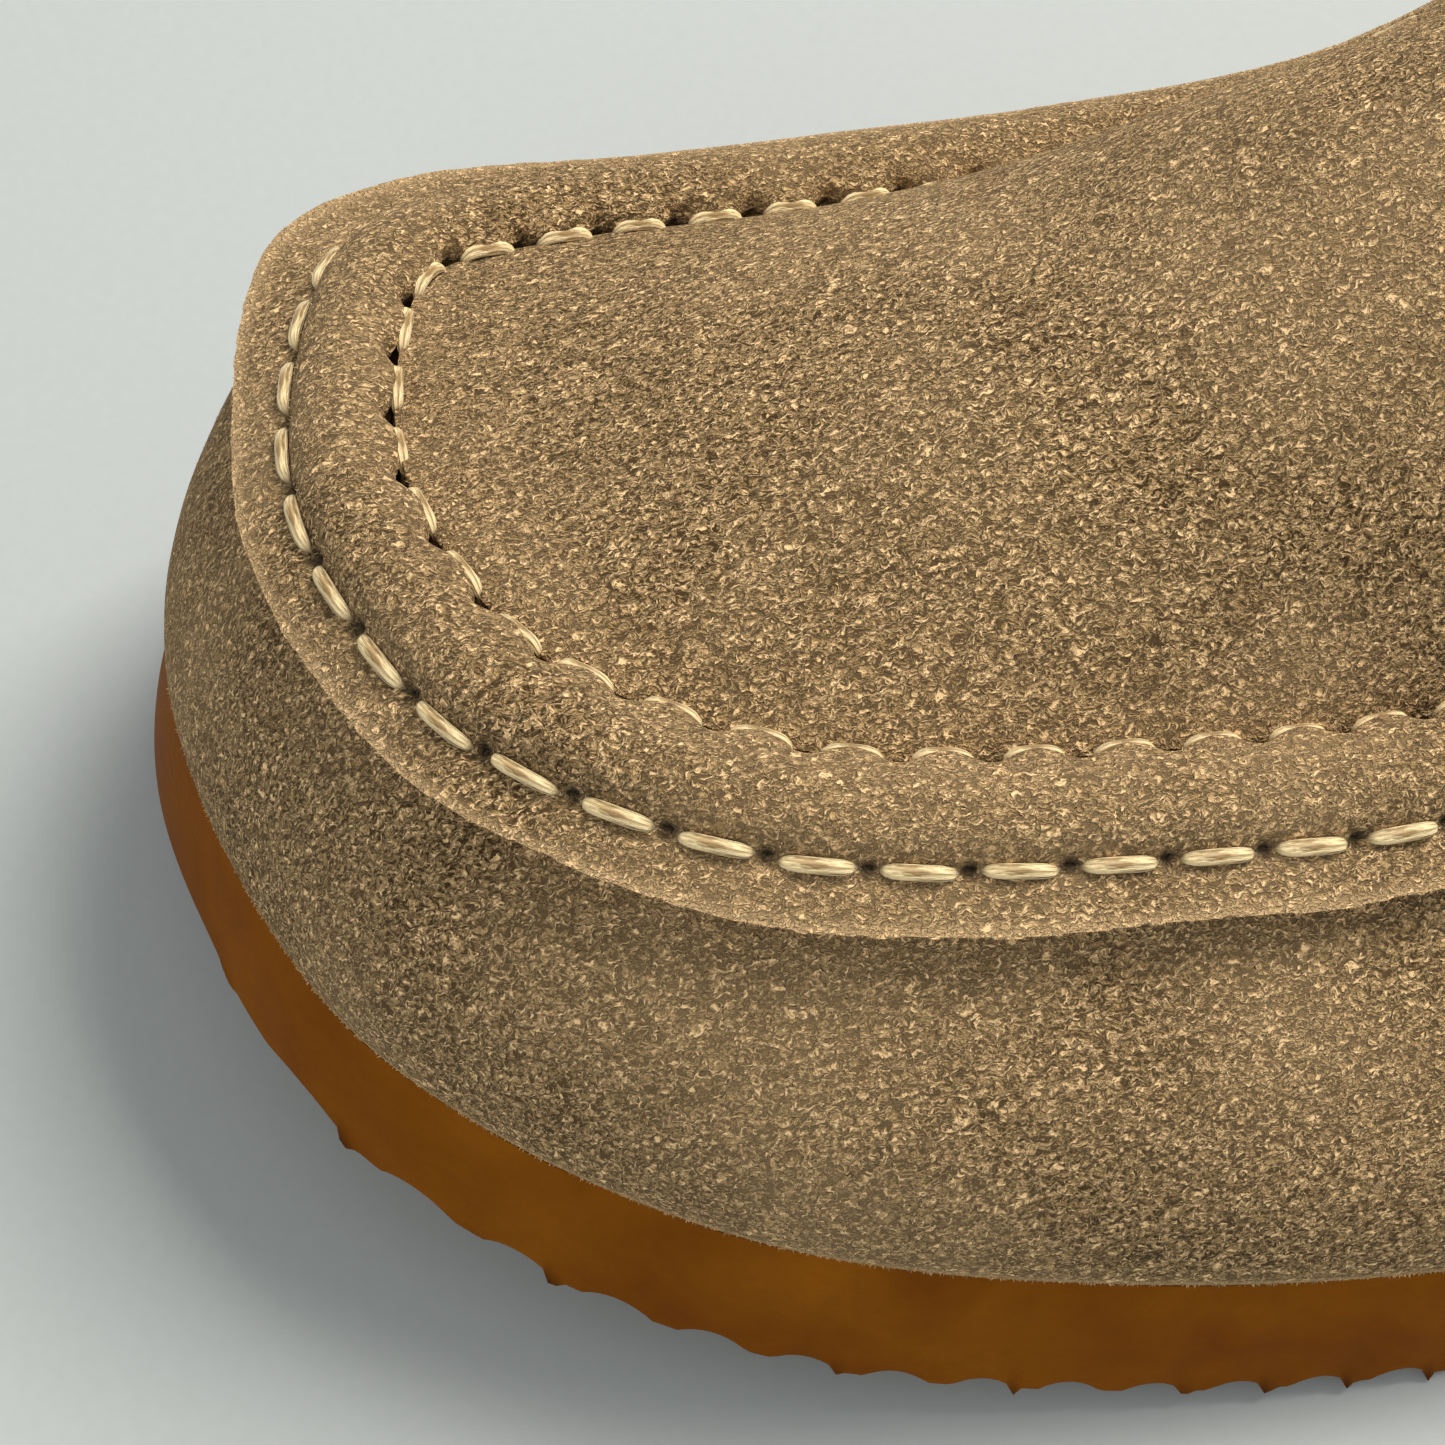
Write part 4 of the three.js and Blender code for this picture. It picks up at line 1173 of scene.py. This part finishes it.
class MOCCASIN_OT_roll(bpy.types.Operator):
    """Padded strip round the apron, with its raw outer edge"""
    bl_idname = "moccasin.roll"
    bl_label = "Apron roll"

    COLUMNS = 1050

    def execute(self, context):
        outer_seam, inner_seam = apron_seams(context.scene.moccasin_sizes)
        rings, holes, raws = [], [], []
        for station in evenly(*ROUND_THE_TOE, self.COLUMNS):
            side = Side(station)
            face, dark = roll_section(side, outer_seam, inner_seam)
            under = [flange_point(side, d, -FIT_GAP) for d in (flange_width(station) - 0.12, 0.0)]
            inside = roll_points(side)
            hollow = [uniform_curve(inside, share) - Vector((0, SUEDE)) for share in (0.35, 0.6)]
            turned = face[-1] + Vector((-0.5, -1.1))
            section = [*face, turned, *reversed([*under, *hollow])]
            rings.append([place(station, point.x, point.y) for point in section])
            # The hole marks are painted shade at the stitch holes.
            holes.append([*dark, *[0.0] * 5])
            raws.append([1.0, 0.55, 0.15, *[0.0] * (len(face) - 3), 0.0, 0.0, 0.0, 0.6, 1.0])
        solid("suede_apron_roll", rings, "brushed_suede", "shoe", "suede", "apron_roll", 50,
              hole=holes, raw=raws)
        return {"FINISHED"}


class MOCCASIN_OT_apron(bpy.types.Operator):
    """Crowned suede apron, and the binding of its rear edge"""
    bl_idname = "moccasin.apron"
    bl_label = "Apron"

    ROWS = 170
    COLUMNS = 120

    def execute(self, context):
        rings = []
        for j in range(self.ROWS + 1):
            length = (j / self.ROWS) ** 1.2
            ring = []
            for k in range(self.COLUMNS + 1):
                width = (1 - math.cos(math.pi * k / self.COLUMNS)) / 2
                point = apron_point(length, width)
                edge = min(width, 1 - width)
                held = smooth(edge, 0.01, 0.12) * smooth(length, 0.02, 0.12)
                out = apron_frame(length, width)[1]
                swell = ripple(point, 26, 0.55, 11) + ripple(point, 9, 0.16, 12)
                ring.append(point + out * (swell * held * MM))
            rings.append(ring)
        sheet("suede_apron", rings, SUEDE_AND_EDGE, SUEDE, straight_up, "suede", "apron", closed=True)
        self.tuck(apron_seams(context.scene.moccasin_sizes)[1])
        self.binding()
        return {"FINISHED"}

    TUCK_COLUMNS = 700
    TUCK_SECTION = ((0.75, -0.28), (0.30, -0.42), (-0.05, -0.85), (-0.35, -1.7))
    TUCK_THICKNESS = 0.5

    def tuck(self, seam):
        """The apron's turned-down edge, which closes the groove beside the roll."""
        rings, holes = [], []
        for station in evenly(*ROUND_THE_TOE, self.TUCK_COLUMNS):
            row = Side(station).row()
            near = seam.distance(station)
            ring, dark = [], []
            for width, height in self.TUCK_SECTION:
                drop = 0.25 * pinch(near, 0.45)
                ring.append(place(station, row.x + ROLL_WIDTH + FIT_GAP + width,
                                  row.y + ROLL_INNER_STEP + height - drop))
                # Painted shade at the inner row's holes, stronger further down into the groove.
                dark.append(clamp(1.4 * pinch(near, 0.32) * smooth(0.9 - width, 0.0, 0.6)))
            rings.append(ring)
            holes.append(dark)
        sheet("suede_apron_tuck", rings, ["brushed_suede"], self.TUCK_THICKNESS, straight_up, "suede",
              hole=holes)

    BINDING_COLUMNS = 70
    BINDING_STEPS = 16

    def binding(self):
        low, high = -BINDING_LIP, APRON_DEPTH + BINDING_LIP
        middle, half = (low + high) / 2, (high - low) / 2
        rings = []
        for width in evenly(0.03, 0.97, self.BINDING_COLUMNS):
            back, out = apron_frame(1, width)
            edge = apron_point(1, width)
            ring = []
            for k in range(self.BINDING_STEPS + 1):
                turn = math.pi * k / self.BINDING_STEPS
                depth = middle - math.cos(turn) * half
                behind = FIT_GAP + (BINDING_HEIGHT - FIT_GAP) * math.sin(turn) ** 0.5
                ring.append(edge - out * (depth * MM) + back * (behind * MM))
            rings.append(ring)
        solid("suede_throat_binding", rings, "brushed_suede", "shoe", "suede", "throat_binding")


class MOCCASIN_OT_apron_stitches(bpy.types.Operator):
    """The two rows of thread along the roll"""
    bl_idname = "moccasin.apron_stitches"
    bl_label = "Apron stitches"

    def stitches(self, seam, path_at, sizes, dice):
        width = sizes.thread_width / MM
        gap = sizes.thread_gap / MM / seam.pitch / 2
        for first, second in zip(seam.holes, seam.holes[1:]):
            start, end = mix(first, second, gap), mix(first, second, 1 - gap)
            slant, wide = dice.uniform(-0.12, 0.12), dice.uniform(0.92, 1.10)
            yield path_at(start, end, slant), width * wide, width * 0.66

    OUTER_DIVE, OUTER_LIFT = -0.55, 0.12
    INNER_DIVE, INNER_LIFT = -0.95, 0.30
    INNER_INSET = 0.30              # past the roll's inner edge

    def outer_path(self, start, end, slant):
        def path(share):
            station = mix(start, end, share)
            side = Side(station)
            arch = 1 - abs(2 * share - 1) ** 6
            lift = LAP_LIFT + mix(self.OUTER_DIVE, self.OUTER_LIFT, arch)
            point = side.point(1.0, -lift)
            up = (side.point(1.0, -lift - 1) - point).normalized()
            ahead = (Side(station + 0.002).point(1.0, -lift) - point).normalized()
            side_way = ahead.cross(up).normalized()
            point += side_way * (slant * (2 * share - 1) * MM)
            return point, side_way, up
        return path

    def inner_path(self, start, end, slant):
        def centre(station, arch):
            row = Side(station).row()
            return place(station, row.x + ROLL_WIDTH + self.INNER_INSET + 0.12 * arch,
                         row.y + ROLL_INNER_STEP + mix(self.INNER_DIVE, self.INNER_LIFT, arch))

        def path(share):
            station = mix(start, end, share)
            arch = 1 - abs(2 * share - 1) ** 4
            point = centre(station, arch)
            ahead = (centre(station + 0.002, arch) - point).normalized()
            inward = (place(station, 1, 0) - place(station, 0, 0)).normalized()
            up = (inward * 0.5 + Vector((0, 0, 1))).normalized()
            side_way = ahead.cross(up).normalized()
            return point + side_way * (slant * (2 * share - 1) * MM), side_way, up
        return path

    def execute(self, context):
        sizes = context.scene.moccasin_sizes
        dice = random.Random(sizes.seed)
        rows = (("outer", self.outer_path), ("inner", self.inner_path))
        for (side, path_at), seam in zip(rows, apron_seams(sizes)):
            thread_row(f"{side}_row_thread", f"{side}_stitching",
                       self.stitches(seam, path_at, sizes, dice), 10, 11)
        return {"FINISHED"}


SEAM_OVERLAP = 7.0


def quarter_front(share, inner):
    """Station of a quarter's front edge, which laps over the vamp below the roll."""
    lap = SEAM_OVERLAP * (1 - smooth(share, 0.42, 0.72)) / OUTER_RUN
    return THROAT_INNER + lap - 0.5 / OUTER_RUN if inner else THROAT_OUTER - lap + 0.5 / OUTER_RUN


def quarter_depth(station, share, inner):
    """Depth of a quarter's outer face, which steps out where it lies on the vamp."""
    past = (station - THROAT_INNER if inner else THROAT_OUTER - station) * OUTER_RUN
    lap = 1 - smooth(share, 0.42, 0.72)
    return -LAP_LIFT * smooth(past, -5.0, 0.5) * lap


class MOCCASIN_OT_quarters(bpy.types.Operator):
    """Suede sides, the strip over the heel joint and the rising stitches"""
    bl_idname = "moccasin.quarters"
    bl_label = "Quarters"

    COLUMNS = 260
    ROWS = 34
    STRIP_COLUMNS = 60
    STRIP_ROWS = 40
    SIDE_ROW_INSET = 2.2
    SIDE_ROW_SPAN = (0.05, 0.94)
    BACK_ROW_INSET = 2.4
    BACK_ROW_SPAN = (0.05, 0.93)
    HOLE_SHARE = 0.12               # of a stitch's pitch, from its hole to the thread

    def quarter(self, name, node, inner):
        heel = 1 + (FIT_GAP if inner else -FIT_GAP) / OUTER_RUN
        rings, raws = [], []
        for j in range(self.COLUMNS + 1):
            ring, raw = [], []
            for k in range(self.ROWS + 1):
                share = k / self.ROWS
                station = mix(quarter_front(share, inner), heel, j / self.COLUMNS)
                side = Side(station)
                depth = quarter_depth(station, share, inner)
                point = side.point(share, depth)
                swell = ripple(point, 24, 0.5, 21) + ripple(point, 8, 0.14, 22)
                held = smooth(share, 0.0, 0.15) * (1 - smooth(share, 0.85, 1.0))
                held *= smooth(j / self.COLUMNS, 0.0, 0.05) * (1 - smooth(j / self.COLUMNS, 0.92, 0.97))
                ring.append(side.point(share, depth - swell * held))
                front = 1 - smooth(j, 0, 2)
                raw.append(max(front, 1 - smooth(share, 0.0, 0.05)))
            rings.append(ring)
            raws.append(raw)
        sheet(name, rings, SUEDE_AND_EDGE, SUEDE, outward_of_shoe, "suede", node, raw=raws)

    def back_strip(self):
        half = BACK_STRIP_WIDTH / 2 / OUTER_RUN
        rings, raws = [], []
        for station in evenly(1 - half, 1 + half, self.STRIP_COLUMNS):
            side = Side(station)
            edge = 1 - abs(station - 1) / half
            ring, raw = [], []
            for share in evenly(0.02, 0.96, self.STRIP_ROWS):
                lift = FIT_GAP + BACK_STRIP_THICKNESS * smooth(edge, -0.12, 0.12)
                ring.append(side.point(share, -lift))
                raw.append(1 - smooth(edge, 0.0, 0.07))
            rings.append(ring)
            raws.append(raw)
        sheet("suede_back_strip", rings, SUEDE_AND_EDGE, BACK_STRIP_THICKNESS, outward_of_shoe,
              "suede", "back_strip", raw=raws)

    def side_row(self, side, inner, sizes, dice):
        """Up a quarter's front edge."""
        inset = (-self.SIDE_ROW_INSET if inner else self.SIDE_ROW_INSET) / OUTER_RUN

        def spot(along):
            share = mix(*self.SIDE_ROW_SPAN, along)
            station = quarter_front(share, inner) + inset
            return station, share, quarter_depth(station, share, inner)

        self.rising_row(f"side_thread_{side}", f"side_stitching_{side}", spot, sizes, dice)

    def back_row(self, side, inner, sizes, dice):
        """Up an edge of the strip over the heel joint."""
        from_back = (BACK_STRIP_WIDTH / 2 - self.BACK_ROW_INSET) / OUTER_RUN
        station = 1 + from_back if inner else 1 - from_back

        def spot(along):
            return station, mix(*self.BACK_ROW_SPAN, along), -(FIT_GAP + BACK_STRIP_THICKNESS)

        self.rising_row(f"back_thread_{side}", f"back_stitching_{side}", spot, sizes, dice)

    def rising_row(self, name, node, spot, sizes, dice):
        (bottom, low, _), (top, high, _) = spot(0), spot(1)
        length = (Side(bottom).point(low, 0) - Side(top).point(high, 0)).length
        count = round(length / sizes.side_pitch)
        thread_row(name, node, side_stitches(count, self.HOLE_SHARE, spot, dice))

    def execute(self, context):
        sizes = context.scene.moccasin_sizes
        dice = random.Random(sizes.seed + 1)
        sides = (("lateral", False), ("medial", True))
        for side, inner in sides:
            self.quarter(f"suede_quarter_{side}", f"quarter_{side}", inner)
        self.back_strip()
        for row in (self.side_row, self.back_row):
            for side, inner in sides:
                row(side, inner, sizes, dice)
        return {"FINISHED"}


class MOCCASIN_OT_collar(bpy.types.Operator):
    """Padded collar, its lining, its binding and its row of stitches"""
    bl_idname = "moccasin.collar"
    bl_label = "Collar"

    COLUMNS = 300
    LINING_ROWS = 28
    FOAM_ROWS = 8
    BINDING_STEPS = 18
    ROW_SHARE = 0.93
    ROW_INSET = 2.4
    ROW_FULLNESS = 0.9              # the top edge is shorter than the line at the sole
    HOLE_SHARE = 0.13

    def shell(self, name, node, material, slot, stations, shares, outer, inner):
        rings = []
        for station in stations:
            side = Side(station)
            ring = [side.point(share, outer(share)) for share in shares]
            ring += [side.point(share, inner(share)) for share in reversed(shares)]
            rings.append(ring)
        return solid(name, rings, material, "shoe", slot, node)

    def binding(self):
        depth = collar_depth(1) + LINING
        middle, half = depth / 2, depth / 2 + BINDING_LIP
        seat = 2 * FIT_GAP
        rings = []
        for station in evenly(THROAT_OUTER, THROAT_INNER, self.COLUMNS):
            side = Side(station)
            top, up = side.at(1), side.along(1)
            ring = []
            for k in range(self.BINDING_STEPS + 1):
                turn = math.pi * k / self.BINDING_STEPS
                inward = middle - math.cos(turn) * half
                wave = 1 + 0.04 * noise.noise(Vector((station * 60, k * 0.4, 1.0)))
                above = seat + (BINDING_HEIGHT - seat) * math.sin(turn) ** 0.6 * wave
                ring.append(place(station, top.x + up.y * inward + up.x * above,
                                  top.y - up.x * inward + up.y * above))
            rings.append(ring)
        solid("suede_collar_binding", rings, "brushed_suede", "shoe", "suede", "collar_binding")

    def row(self, side, start, end, sizes, dice):
        length = abs(end - start) * OUTER_RUN * self.ROW_FULLNESS * MM
        count = round(length / sizes.side_pitch)

        def spot(along):
            return mix(start, end, along), self.ROW_SHARE, 0

        thread_row(f"collar_thread_{side}", f"collar_stitching_{side}",
                   side_stitches(count, self.HOLE_SHARE, spot, dice))

    def execute(self, context):
        sizes = context.scene.moccasin_sizes
        dice = random.Random(sizes.seed + 2)
        around = evenly(THROAT_OUTER, THROAT_INNER, self.COLUMNS)
        shares = evenly(0.0, 1.0, self.LINING_ROWS)
        self.shell("quarter_lining_leather", "quarter_lining", "lining_leather", "lining_leather",
                   around, shares, collar_depth, lambda share: collar_depth(share) + LINING)
        padded = evenly(FOAM_START_SHARE + 0.02, 0.97, self.FOAM_ROWS)
        pad = self.shell("collar_foam", "collar_padding", "soft_foam", "foam",
                         around[4:-4], padded, lambda share: LAP_LIFT,
                         lambda share: collar_depth(share) - FIT_GAP)
        self.binding()
        seam = self.ROW_INSET / OUTER_RUN
        back = BACK_STRIP_WIDTH / 2 / OUTER_RUN
        self.row("lateral", THROAT_OUTER + 2 * seam, 1 - back - seam, sizes, dice)
        self.row("medial", 1 + back + seam, THROAT_INNER - 2 * seam, sizes, dice)
        return {"FINISHED"}


def footbed_top(y, share):
    heel = smooth(y, WEDGE_START, WEDGE_END)
    flat = feather(y) + BOARD_TOP + FIT_GAP + FOOTBED_THICKNESS + FOOTBED_HEEL_EXTRA * heel
    return flat + FOOTBED_CUP * heel * share ** 4


class MOCCASIN_OT_sock(bpy.types.Operator):
    """Leather sock over the footbed"""
    bl_idname = "moccasin.sock"
    bl_label = "Sock liner"

    ROWS = 190
    COLUMNS = 26

    def execute(self, context):
        inset = SHELL_DEPTH + FOOTBED_CLEARANCE
        rings = []
        for outer, inner in matched_stations(self.ROWS):
            right, left = place(outer, inset, 0), place(inner, inset, 0)
            ring = []
            for k in range(self.COLUMNS + 1):
                share = 2 * k / self.COLUMNS - 1
                point = left.lerp(right, k / self.COLUMNS)
                y = back_of(point)
                worn = ripple(point, 30, 0.25, 31) * (1 - abs(share) ** 3)
                point.z = (footbed_top(y, share) + FIT_GAP + SOCK_THICKNESS + worn) * MM
                ring.append(point)
            rings.append(ring)
        sheet("sock_liner_leather", rings, ["sock_leather"], SOCK_THICKNESS, straight_up,
              "sock_leather", "sock_liner", closed=True)
        return {"FINISHED"}


class MOCCASIN_OT_tongue(bpy.types.Operator):
    """Padded tongue: suede face, foam and leather lining"""
    bl_idname = "moccasin.tongue"
    bl_label = "Tongue"

    ROWS = 40
    COLUMNS = 32

    def setup(self):
        self.half_throat = (apron_point(1, 1) - apron_point(1, 0)).length / 2
        middle = apron_point(1, 0.5)
        self.crown = apron_crown(back_of(middle) / UPPER_LENGTH) * MM
        out = apron_frame(1, 0.5)[1]
        self.hinge = middle - out * ((APRON_DEPTH + FIT_GAP) * MM)
        self.hinge.y = middle.y + (BINDING_HEIGHT + TONGUE_GAP) * MM

    def point(self, length, width):
        corner = clamp((length - 0.7) / 0.3)
        half = mix(TONGUE_BASE_WIDTH, TONGUE_TIP_WIDTH, length) / 2 * MM * (1 - 0.42 * corner ** 3)
        x = width * half
        drop = self.crown * mix(1, 0.5, length) * abs(x / self.half_throat) ** CROWN_POWER
        rise = TONGUE_RISE * MM * (0.85 * length + 0.15 * length * length)
        return self.hinge + Vector((x, length * TONGUE_LENGTH * MM, rise - drop))

    def layer(self, name, material, slot, node, outer, inner, margin=0.0, swell=0.0, turned=0.0):
        """One layer between two depths. Its edge can swell less and turn down over the others."""
        side, end = 1 - 2 * margin / TONGUE_BASE_WIDTH, 1 - margin / TONGUE_LENGTH
        rings = []
        for j in range(self.ROWS + 1):
            length = end * j / self.ROWS
            face, under = [], []
            for k in range(self.COLUMNS + 1):
                width = mix(-side, side, k / self.COLUMNS)
                back = self.point(length + 0.01, width) - self.point(length - 0.01, width)
                across = self.point(length, width + 0.01) - self.point(length, width - 0.01)
                out = across.cross(back).normalized()
                point = self.point(length, width)
                from_side, from_end = 1 - abs(2 * k / self.COLUMNS - 1), 1 - j / self.ROWS
                puff = swell * (smooth(from_side, 0.0, 0.16) * smooth(from_end, 0.0, 0.12) - 0.5)
                deep = inner + turned if min(from_side, from_end) == 0 else inner
                face.append(point - out * ((outer - puff) * MM))
                under.append(point - out * (deep * MM))
            rings.append([*face, *reversed(under)])
        return solid(name, rings, material, "tongue", slot, node)

    def execute(self, context):
        self.setup()
        foam_depth = SUEDE + 2 * FIT_GAP
        lining_depth = foam_depth + TONGUE_FOAM + 2 * FIT_GAP
        back_depth = lining_depth + LINING
        self.layer("suede_tongue", "brushed_suede", "suede", "tongue_face", 0, SUEDE,
                   swell=0.6, turned=back_depth - SUEDE)
        foam = self.layer("tongue_foam_pad", "soft_foam", "foam", "tongue_foam",
                          foam_depth, foam_depth + TONGUE_FOAM, TONGUE_FOAM_MARGIN)
        self.layer("tongue_lining_leather", "lining_leather", "lining_leather", "tongue_lining",
                   lining_depth, back_depth, TONGUE_EDGE)
        return {"FINISHED"}


class MOCCASIN_OT_nap(bpy.types.Operator):
    """Fibres that stand up from the raw edges and the brushed faces"""
    bl_idname = "moccasin.nap"
    bl_label = "Nap"

    FACE_TUFT = (1.1, 0.34, 0.06)   # spread, length and width of a fibre on an open face

    def tuft(self, dice, root, out, spread, length, width):
        """One fibre's root, rise, droop and width."""
        tangled = Vector((dice.uniform(-1, 1), dice.uniform(-1, 1), dice.uniform(-1, 1))) * spread
        rise = (out + tangled).normalized() * (dice.uniform(0.5, 1.0) * length * MM)
        droop = Vector((dice.uniform(-1, 1), dice.uniform(-1, 1), dice.uniform(-1.2, 0.4)))
        return root - out * (0.12 * MM), rise, droop * (0.3 * length * MM), width * MM

    def raw_edge(self, dice):
        station = dice.uniform(*ROUND_THE_TOE)
        side = Side(station)
        depth = -FIT_GAP - SUEDE * dice.random()
        width = flange_width(station) - 0.05
        section, inner = flange_point(side, width, depth), flange_point(side, width - 0.5, depth)
        root = place(station, section.x, section.y)
        out = (root - place(station, inner.x, inner.y)).normalized()
        return self.tuft(dice, root, out, 0.8, 0.36, 0.07)

    def foot_edge(self, dice):
        side = Side(dice.uniform(0, 2))
        down = (side.point(0.002, -1) - side.point(0.02, -1)).normalized()
        out = (down + side.out(0)).normalized()
        return self.tuft(dice, side.point(0.002, 0.1), out, 0.7, 0.30, 0.07)

    def wall(self, dice):
        side = Side(dice.uniform(*ROUND_THE_TOE))
        share = dice.uniform(0.03, 0.85)
        return self.tuft(dice, side.point(share, 0), side.out(share), *self.FACE_TUFT)

    def roll(self, dice):
        station = dice.uniform(*ROUND_THE_TOE)
        spline = roll_points(Side(station))
        share = dice.uniform(0.08, 0.86)
        here = uniform_curve(spline, share)
        along = (uniform_curve(spline, share + 0.01) - here).normalized()
        root = place(station, here.x, here.y)
        out = (place(station, here.x - along.y, here.y + along.x) - root).normalized()
        return self.tuft(dice, root, out, *self.FACE_TUFT)

    def apron(self, dice):
        length, width = dice.random() ** 0.7, dice.uniform(0.03, 0.97)
        out = apron_frame(length, width)[1]
        return self.tuft(dice, apron_point(length, width), out, *self.FACE_TUFT)

    def execute(self, context):
        dice = random.Random(context.scene.moccasin_sizes.seed + 3)
        share = 1.0
        groups = (
            (self.raw_edge, 7000),
            (self.foot_edge, 9000),
            (self.wall, 9000),
            (self.roll, 7000),
            (self.apron, 12000),
        )
        grown = [(grow.__name__, [grow(dice) for _ in range(int(count * share))])
                 for grow, count in groups]
        for name, roots in grown:
            settle(finish_mesh(fibre_mesh(roots), f"fuzz_{name}", ["nap_fibre"]), "shoe", "suede")
        return {"FINISHED"}


class MOCCASIN_OT_inside(bpy.types.Operator):
    """Finishes of the parts that stay as they are, inside the shoe"""
    bl_idname = "moccasin.inside"
    bl_label = "Inner parts"

    FINISHES = {
        "bottom_filler": "cork_mix",
        "shank": "spring_steel",
        "insole_board": "fibreboard",
        "footbed": "soft_foam",
        "heel_pad": "soft_foam",
        "toe_puff": "fibreboard",
        "heel_counter": "fibreboard",
        "vamp_lining": "lining_leather",
        "apron_lining": "lining_leather",
        "roll_cord": "soft_foam",
    }

    def execute(self, context):
        for node, material in self.FINISHES.items():
            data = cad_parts[node].data
            data.materials.clear()
            data.materials.append(bpy.data.materials[material])
        return {"FINISHED"}


OPERATORS = (
    MOCCASIN_OT_stage,
    MOCCASIN_OT_materials,
    MOCCASIN_OT_sole,
    MOCCASIN_OT_vamp,
    MOCCASIN_OT_roll,
    MOCCASIN_OT_apron,
    MOCCASIN_OT_apron_stitches,
    MOCCASIN_OT_quarters,
    MOCCASIN_OT_collar,
    MOCCASIN_OT_sock,
    MOCCASIN_OT_tongue,
    MOCCASIN_OT_nap,
    MOCCASIN_OT_inside,
)


class MOCCASIN_PT_panel(bpy.types.Panel):
    """The moccasin's pieces"""
    bl_idname = "MOCCASIN_PT_panel"
    bl_label = "Moccasin"
    bl_space_type = "VIEW_3D"
    bl_region_type = "UI"
    bl_category = "Moccasin"

    def draw(self, context):
        for group in (context.scene.moccasin_sizes, context.scene.moccasin_colours):
            for key in group.__annotations__:
                self.layout.prop(group, key)
        for operator in OPERATORS:
            self.layout.operator(operator.bl_idname)


CLASSES = (MoccasinSizes, MoccasinColours, *OPERATORS, MOCCASIN_PT_panel)


def register():
    for item in CLASSES:
        bpy.utils.register_class(item)
    bpy.types.Scene.moccasin_sizes = PointerProperty(type=MoccasinSizes)
    bpy.types.Scene.moccasin_colours = PointerProperty(type=MoccasinColours)


def unregister():
    del bpy.types.Scene.moccasin_colours
    del bpy.types.Scene.moccasin_sizes
    for item in reversed(CLASSES):
        bpy.utils.unregister_class(item)


def main():
    register()
    for operator in OPERATORS:
        group, name = operator.bl_idname.split(".")
        getattr(getattr(bpy.ops, group), name)()


if __name__ == "__main__":
    main()
